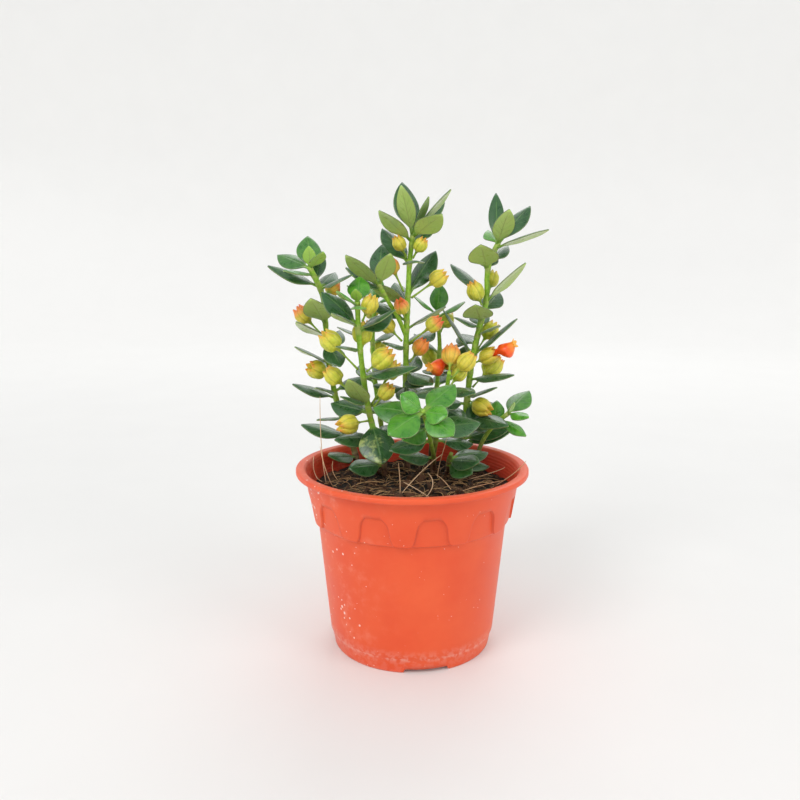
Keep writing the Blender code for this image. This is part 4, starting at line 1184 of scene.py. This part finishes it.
# %% [markdown]
# ## The pot
#
# The pot is one half section turned round the axis. Two things break the round: the
# twelve sunk panels of the band and the notches of the foot. Both can stay inside one
# grid. The columns of the grid follow the panels' slanted sides, so a panel is just a
# smaller radius between two columns, and the foot's lowest rows rise where a notch is.

# %% Columns and rows of the fine pot
# Half width of a panel, in degrees of turn, at five heights from its foot to its top.
PANEL_HEIGHTS = [TAB_BOTTOM - 0.6, TAB_BOTTOM + 1.0, TAB_BOTTOM + 3.6, WINDOW_TOP - 3.6,
                 WINDOW_TOP]
PANEL_HALVES = [12.0, 9.9, 8.9, 7.4, 4.6]
# How wide the panel's rounded side is, in degrees.
PANEL_SIDE = 0.35


def pot_column_turns(height):
    """Turn of each column of one sector at a height, in degrees from its panel's middle.

    Six columns a side hold to the panel's half width and four spread over the tab.
    """
    half = np.interp(height, PANEL_HEIGHTS, PANEL_HALVES)
    sector = 180.0 / WINDOW_COUNT
    inner = np.array([0.0, 0.25, 0.5, 0.75, 0.94, 1.0]) * (half - PANEL_SIDE)
    outer = half + np.array([0.0, 0.1, 0.4, 0.7]) * (sector - half)
    right = np.concatenate([inner, outer])
    return np.concatenate([-right[:0:-1], right, [sector]])


# Which of those columns lie in the panel: not the tab's at either end.
PANEL_COLUMNS = np.repeat([0.0, 1.0, 0.0], [4, 11, 5])


def pot_rows():
    """Floor, inner wall and rim: rows of (radius, height, panel depth, inside, crease)."""
    rise = np.linspace(0.0, 1.0, 9)[1:-1]
    rows = [(0.4, FLOOR_TOP, 0, 1, 0), (25.0, FLOOR_TOP, 0, 1, 0), (45.2, FLOOR_TOP, 0, 1, 0),
            (46.4, FLOOR_TOP + 0.5, 0, 1, 0), (48.7, CREASE_HEIGHT + 0.6, 0, 1, 0)]
    rows += [(48.7 + s * 7.0, 9.6 + s * (TAB_BOTTOM - 10.6), 0, 1, 0) for s in rise]
    rows += [(55.7, TAB_BOTTOM - 1.0, 0, 1, 0), (58.0, TAB_BOTTOM + 3.0, 0, 1, 0)]
    rows += [(58.0 + s * 5.2, TAB_BOTTOM + 3.0 + s * 24.3, 0, 1, 0) for s in rise]
    rows += [(63.2, LIP_UNDER, 0, 1, 0), (64.1, RIM_TOP - 1.2, 0, 0.6, 0),
             (64.8, RIM_TOP - 0.3, 0, 0.2, 0), (65.3, RIM_TOP, 0, 0, 0),
             (67.5, RIM_TOP, 0, 0, 0), (69.2, RIM_TOP - 0.05, 0, 0, 0),
             (69.75, RIM_TOP - 0.3, 0, 0, 0), (RIM_RADIUS, RIM_TOP - 0.8, 0, 0, 0),
             (RIM_RADIUS, LIP_UNDER + 0.6, 0, 0, 0), (69.8, LIP_UNDER + 0.15, 0, 0, 0),
             (69.3, LIP_UNDER, 0, 0, 0), (65.2, LIP_UNDER - 0.05, 0, 0, 0.5),
             (64.7, LIP_UNDER - 0.5, 0, 0, 0.4)]
    return rows


def collar_radius(height):
    """Outer radius of the band at a height."""
    share = (height - TAB_BOTTOM) / (LIP_UNDER - TAB_BOTTOM)
    return COLLAR_FOOT_RADIUS + share * (COLLAR_TOP_RADIUS - COLLAR_FOOT_RADIUS)


# Radius of the body where it meets the crease.
BODY_LOW_RADIUS = 50.45


def outer_rows():
    """The band, the step under its tabs, the body, the crease, the foot and the
    underside, as rows like the ones above."""
    band = [105.0, 102.0, 99.0, WINDOW_TOP + 0.25]
    rows = [(collar_radius(z), z, 0.0, 0, 0) for z in band]
    sunk = [WINDOW_TOP - drop for drop in (0.25, 1.0, 2.0, 3.0)] + [91.0, 88.5, 86.0]
    sunk += [TAB_BOTTOM + above for above in (3.6, 2.6, 1.6, 0.9, 0.35)]
    rows += [(collar_radius(z), z, WINDOW_DEPTH, 0, 0) for z in sunk]
    rows += [(60.0, TAB_BOTTOM, WINDOW_DEPTH, 0, 0.1), (59.2, TAB_BOTTOM - 0.35, 0.8, 0, 0.1),
             (57.4, TAB_BOTTOM - 0.6, 0.1, 0, 0.2), (57.15, TAB_BOTTOM - 1.0, 0.0, 0, 0)]
    top, low = TAB_BOTTOM - 1.0, CREASE_HEIGHT + 0.9
    for share in np.linspace(0.0, 1.0, 14)[1:]:
        radius = BODY_TOP_RADIUS - 0.05 + share * (BODY_LOW_RADIUS - BODY_TOP_RADIUS)
        dusty = np.clip((share - 0.93) * 8.0, 0.0, 1.0)
        rows.append((radius, top + share * (low - top), 0, 0, float(dusty)))
    rows += [(50.1, CREASE_HEIGHT + 0.35, 0, 0, 1.0), (49.85, CREASE_HEIGHT - 0.2, 0, 0, 1.0),
             (49.5, CREASE_HEIGHT - 1.5, 0, 0, 0.4), (48.9, 5.0, 0, 0, 0.2),
             (48.35, 2.0, 0, 0, 0.2), (FOOT_RADIUS + 0.05, 0.4, 0, 0, 0.3),
             (FOOT_RADIUS - 0.2, 0.0, 0, 0, 0), (FOOT_RADIUS - 2.3, 0.0, 0, 0, 0),
             (FOOT_RADIUS - 2.6, 0.4, 0, 0, 0), (FOOT_RADIUS - 2.6, FLOOR_UNDER, 0, 0, 0),
             (25.0, FLOOR_UNDER, 0, 0, 0), (0.4, FLOOR_UNDER, 0, 0, 0)]
    return rows


# %% Fine pot
# Over how many millimetres of arc a notch rises, and the radius that parts the foot's
# low rows from the floor's.
NOTCH_SIDE, FOOT_INNER = 1.4, 40.0


def make_pot():
    """Turn the half section round: (r sin a, -r cos a, z), a panel sinking r and a
    notch lifting z."""
    section = np.array(pot_rows() + outer_rows(), float)
    rows = len(section)
    turns = np.array([pot_column_turns(height) for height in section[:, 1]])
    sectors = FIRST_WINDOW + np.arange(WINDOW_COUNT) * 360.0 / WINDOW_COUNT
    turn = np.radians((sectors[None, :, None] + turns[:, None, :]).reshape(rows, -1))
    panel = np.tile(PANEL_COLUMNS, (rows, WINDOW_COUNT))
    radius = section[:, 0, None] - section[:, 2, None] * panel
    apart = 360.0 / NOTCH_COUNT
    phase = (np.degrees(turn) - FIRST_NOTCH + apart / 2) % apart - apart / 2
    arc = np.abs(np.radians(phase)) * FOOT_RADIUS
    lift = np.clip((NOTCH_WIDTH / 2 + NOTCH_SIDE / 2 - arc) / NOTCH_SIDE, 0.0, 1.0)
    lift = lift * NOTCH_HEIGHT
    low = section[:, 1, None] < NOTCH_HEIGHT
    foot = low & (section[:, 0, None] > FOOT_INNER)
    height = np.where(foot, np.maximum(section[:, 1, None], lift), section[:, 1, None])
    skin = np.stack([radius * np.sin(turn), -radius * np.cos(turn),
                     np.broadcast_to(height, radius.shape)], axis=-1)
    # edge marks the panels' side columns, which the plastic paints darker red as painted shade
    border = (panel[:, :-1] != panel[:, 1:]) & (section[:, 2, None] > 1.0)
    edge = np.zeros(panel.shape)
    edge[:, 1:] = border
    values = {"inside": section[None, :, 3, None], "crease": section[None, :, 4, None],
              "edge": edge[None]}
    return dress(skins_to_mesh("moulded_pot", skin[None], values, polypropylene), "pot")


pot_piece = make_pot()
print("pot faces:", len(pot_piece.data.polygons))

# %% [markdown]
# ## The soil
#
# The ground is a disc of peat with an uneven top. Bark chunks lie on it and in it, and
# coir fibres curl over it. A few long dry straws stand up out of it and lean on the
# leaves. Chunks and fibres are each made as one array, so hundreds cost a few lines.

# %% Ground
# The radius inside the wall at the soil's top, and the ground's own.
WALL_CLEAR, GROUND_RADIUS = 59.6, 60.2


def lumps(x, y):
    """Small uneven height: sums of slanted waves of three sizes, about 1.5 mm in all."""
    coarse = 0.8 * np.sin(0.45 * x + 0.3 * y) * np.cos(0.38 * y - 0.2 * x + 1.0)
    middle = 0.5 * np.sin(1.1 * x - 0.7 * y + 2.0) * np.sin(0.9 * y + 0.5 * x)
    small = 0.3 * np.sin(2.3 * x + 1.0) * np.sin(2.1 * y + 0.8 * x)
    return coarse + middle + small


def soil_height(x, y):
    """Height of the soil's top, the solid's own."""
    coarse = 0.7 * np.sin(0.13 * x + 1.0) * np.cos(0.11 * y)
    fine = 0.5 * np.sin(0.37 * x - 0.21 * y) + 0.4 * np.cos(0.29 * x + 0.41 * y + 2.0)
    return SOIL_TOP + coarse + fine


def make_ground():
    """A disc of rings over a plain body: (r cos a, r sin a, soil height + lumps)."""
    a = np.linspace(0.0, 2 * math.pi, 120, endpoint=False)
    side = np.array([(0.5, FLOOR_TOP + 0.3), (45.5, FLOOR_TOP + 0.3), (48.2, 9.6),
                     (55.1, TAB_BOTTOM - 1.0), (57.4, TAB_BOTTOM + 3.0),
                     (GROUND_RADIUS, 96.0)])
    top = np.linspace(GROUND_RADIUS, 0.5, 42)
    radius = np.concatenate([side[:, 0], top])
    x, y = radius[:, None] * np.cos(a), radius[:, None] * np.sin(a)
    height = soil_height(x, y) + lumps(x, y) - 0.4
    height[:len(side)] = side[:, 1, None]
    skin = np.stack([x, y, height], axis=-1)
    return dress(skins_to_mesh("peat_ground", skin[None], {}, peat), "soil")


ground_piece = make_ground()
print("ground faces:", len(ground_piece.data.polygons))


# %% Bark chunks
def turns_at_random(count):
    """Random rotation matrices, by squaring up random axes."""
    first = draws.normal(size=(count, 3))
    first /= np.linalg.norm(first, axis=1, keepdims=True)
    second = np.cross(first, draws.normal(size=(count, 3)))
    second /= np.linalg.norm(second, axis=1, keepdims=True)
    return np.stack([first, second, np.cross(first, second)], axis=-1)


def scatter(count, reach):
    """Even random places on a disc of a given radius."""
    r, a = reach * np.sqrt(draws.random(count)), 2 * math.pi * draws.random(count)
    return r * np.cos(a), r * np.sin(a)


def make_chunks(count=520):
    """Chunks are five-ringed pods of six sides, jittered, squashed, turned, strewn.

    Each pod is (r cos a, r sin a, z) over its rings, times its three sizes, rotated.
    """
    rings = np.array([(-1.0, 0.35), (-0.5, 0.85), (0.2, 1.0), (0.8, 0.7), (1.0, 0.3)])
    a = np.linspace(0.0, 2 * math.pi, 6, endpoint=False)
    pod = np.stack([rings[:, 1, None] * np.cos(a), rings[:, 1, None] * np.sin(a),
                    np.broadcast_to(rings[:, 0, None], (5, 6))], axis=-1)
    pods = pod[None] * (1.0 + 0.28 * draws.normal(size=(count, 5, 6, 1)).clip(-1.5, 1.5))
    big = 0.8 + 2.6 * draws.random(count) ** 3
    shape = np.stack([big * 0.55, big * (0.5 + 0.4 * draws.random(count)), big * 1.1], axis=1)
    pods = pods * shape[:, None, None, :]
    pods = np.einsum("nij,nrcj->nrci", turns_at_random(count), pods)
    x, y = scatter(count, WALL_CLEAR - 4.2)
    z = soil_height(x, y) + 0.1 + 0.25 * big
    pods = pods + np.stack([x, y, z], axis=1)[:, None, None, :]
    tone = draws.random(count) ** 1.7
    piece = skins_to_mesh("bark_chunks", pods, {"tone": tone[:, None, None]}, bark)
    piece.data.polygons.foreach_set("use_smooth", np.zeros(len(piece.data.polygons), bool))
    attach(piece, "root")
    return piece


# %% Fibres and straws
def threads(name, starts, turn, rise, length, bend, radius, tone, material, rows=12):
    """Round threads: start + length * share along a way that bends evenly as it goes."""
    share = np.linspace(0.0, 1.0, rows)[None, :]
    way_turn = turn[:, None] + bend[:, None] * share
    way_rise = rise[:, None] * (1.0 - 1.6 * share)
    way = np.stack([np.cos(way_rise) * np.cos(way_turn), np.cos(way_rise) * np.sin(way_turn),
                    np.sin(way_rise)], axis=-1)
    step = (length / (rows - 1))[:, None, None] * way
    path = starts[:, None] + np.cumsum(step, axis=1) - step[:, :1]
    return tubes_on(name, path, radius, tone, material)


def tubes_on(name, path, radius, tone, material):
    """Five-sided tubes along many paths at once, thinning by half to their ends."""
    way = np.gradient(path, axis=1)
    way /= np.linalg.norm(way, axis=2, keepdims=True)
    across = np.cross(way, (0.31, 0.17, 0.93))
    across /= np.linalg.norm(across, axis=2, keepdims=True)
    other = np.cross(way, across)
    a = np.linspace(0.0, 2 * math.pi, 5, endpoint=False)
    share = np.linspace(-1.0, 1.0, path.shape[1])
    thin = radius[:, None] * (1.0 - 0.5 * share[None] ** 4)
    spoke = (np.cos(a)[:, None] * across[:, :, None] + np.sin(a)[:, None] * other[:, :, None])
    skin = path[:, :, None] + thin[:, :, None, None] * spoke
    piece = skins_to_mesh(name, skin, {"tone": tone[:, None, None]}, material)
    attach(piece, "root")
    return piece


def make_fibres(count=330):
    """Tan coir threads that lie over the soil, curled, none beyond the wall."""
    x, y = scatter(count, WALL_CLEAR - 3.0)
    length = 6.0 + 16.0 * draws.random(count) ** 1.5
    inward = np.arctan2(-y, -x) + 1.5 * draws.normal(size=count)
    edge = np.hypot(x, y) > 34.0
    turn = np.where(edge, np.arctan2(-y, -x) + draws.uniform(-0.9, 0.9, count), inward)
    starts = np.stack([x, y, soil_height(x, y) + 0.8 * draws.random(count)], axis=1)
    return threads("coir_fibres", starts, turn, 0.2 + 0.45 * draws.random(count), length,
                   draws.normal(size=count) * 0.9, 0.10 + 0.14 * draws.random(count),
                   draws.random(count), fibre)


# Long dry straws of the photograph: foot, a point on the way, and tip.
STRAWS = [
    ((-47, -10, 99), (-51, -14, 111), (-55, -6, 123)),
    ((-52, -3, 99), (-55, 1, 122), (-56, 7, 151)),
    ((-55, 2, 99), (-60, 6, 103), (-61, 10, 113)),
    ((-46, 6, 99), (-49, 8, 104), (-49, 10, 110)),
    ((-7, -26, 99), (6, -16, 111), (18, -4, 118)),
    ((16, 10, 99), (17, 12, 107), (22, 16, 124)),
    ((-7, -24, 99), (-7, -20, 106), (-8, -16, 116)),
    ((34, 7, 99), (51, 11, 103), (58, 15, 105)),
    ((47, -10, 99), (60, -11, 108), (67, -14, 117)),
    ((10, -29, 99), (2, -25, 103), (-5, -19, 105)),
    ((8, -29, 99), (12, -26, 106), (9, -23, 112)),
    ((24, -19, 99), (19, -13, 104), (14, -9, 107)),
    ((24, -24, 99), (37, -18, 102), (56, -10, 104)),
]
STRAW_RADIUS = 0.26


def make_straws():
    """Each straw is the parabola (1-t)^2 a + 2t(1-t) bend + t^2 c through its points."""
    spots = np.array(STRAWS, float)
    t = np.linspace(0.0, 1.0, 14)[None, :, None]
    a, b, c = (spots[:, k][:, None] for k in range(3))
    bend = 2 * b - 0.5 * (a + c)
    path = (1 - t) ** 2 * a + 2 * t * (1 - t) * bend + t ** 2 * c
    count = len(spots)
    return tubes_on("dry_straws", path, np.full(count, STRAW_RADIUS), draws.random(count),
                    straw)


litter = [make_chunks(), make_fibres(), make_straws()]
print("litter faces:", [len(piece.data.polygons) for piece in litter])

# %% [markdown]
# ## Floor, light and camera
#
# The plant stands on a plain off-white floor that curves up all round into a bowl, so no
# horizon shows from any side. It is the thin paper of a photo tent, with a painted glow
# that stands in for light coming through it from outside: faint, the wall more than the
# floor. A big soft lamp above the front left does most of the work, with others from the
# right and behind.

# %% Paper and floor
def make_paper():
    """Pale paper with a painted glow, more the further it is, and less high up on the wall."""
    made, tree, shader = new_finish("pale_paper")
    place = add(tree, "place")
    far, high = add(tree, "far", place), add(tree, "high", place)
    # painted glow: emission stands in for light coming through the tent's paper
    glow = add(tree, "minus", add(tree, "span", far, 0.4, 1.7, 0.05, 0.24),
                 add(tree, "span", high, 0.2, 0.7, 0.0, 0.06))
    cloud = patches(tree, 0.01, detail=2.0)
    feed(tree, shader, {"Base Color": add(tree, "mix", cloud, ink("DDDCDA"), ink("E1E0DE")),
                        "Emission Color": ink("F8F8F7"), "Emission Strength": glow,
                        "Roughness": 0.7})
    return made


def make_bowl():
    """A floor turned from a half section: flat, then a quarter round, then a wall."""
    a = np.linspace(0.0, 2 * math.pi, 96, endpoint=False)
    bend = np.linspace(0.0, math.pi / 2, 16)
    radius = np.concatenate([[5.0, 400.0, 1200.0], 1600.0 + 700.0 * np.sin(bend), [2300.0]])
    height = np.concatenate([[0.0, 0.0, 0.0], 700.0 * (1.0 - np.cos(bend)), [1400.0]])
    rows, columns = len(radius), len(a)
    points = np.stack([radius[:, None] * np.cos(a), radius[:, None] * np.sin(a),
                       np.broadcast_to(height[:, None], (rows, columns))], axis=-1)
    points = np.concatenate([points.reshape(-1, 3), [[0.0, 0.0, 0.0]]])
    ring = np.arange(columns)
    middle = np.full(columns, rows * columns)
    fan = np.stack([(ring + 1) % columns, ring, middle], axis=-1)
    bowl = make_mesh("paper_floor", points, grid_quads(rows, columns), fan, {}, make_paper())
    bowl.location.z = -0.00005
    return bowl


paper_floor = make_bowl()
print("floor faces:", len(paper_floor.data.polygons))


# %% Lamps and sky
# The middle of the plant in metres, where every lamp looks.
PLANT_MIDDLE = (0.0, 0.0, 0.14)


def lamp(name, place, size, watts):
    """A square soft lamp that looks at the plant."""
    light = bpy.data.lights.new(name, "AREA")
    light.size = size
    light.energy = watts
    made = bpy.data.objects.new(name, light)
    made.location = place
    way = np.subtract(PLANT_MIDDLE, place)
    flat = math.hypot(way[0], way[1])
    made.rotation_euler = (math.atan2(flat, -way[2]), 0.0, math.atan2(-way[0], way[1]))
    bpy.context.scene.collection.objects.link(made)


lamp("soft_left", (-0.9, -1.1, 1.3), 0.8, 12.0)
lamp("soft_right", (1.1, -0.8, 0.9), 0.7, 5.0)
lamp("soft_back", (0.2, 1.1, 1.2), 0.9, 5.0)
sky = bpy.data.worlds.new("pale_sky")
sky.use_nodes = True
sky.node_tree.nodes["Background"].inputs[0].default_value = ink("F6F8FA")
sky.node_tree.nodes["Background"].inputs[1].default_value = 0.8
bpy.context.scene.world = sky
bpy.context.scene.view_settings.view_transform = "Standard"

# %% Camera, from the photograph's angle
eye = bpy.data.cameras.new("eye")
eye.lens = 36.0
eye.sensor_width = 36.0
eye.clip_start = 0.01
viewer = bpy.data.objects.new("viewer", eye)
viewer.location = (0.0, -0.470, 0.2382)
viewer.rotation_euler = (math.radians(90.0 - 10.59), 0.0, math.radians(0.89))
bpy.context.scene.collection.objects.link(viewer)
bpy.context.scene.camera = viewer
print("camera at", tuple(round(value, 3) for value in viewer.location))
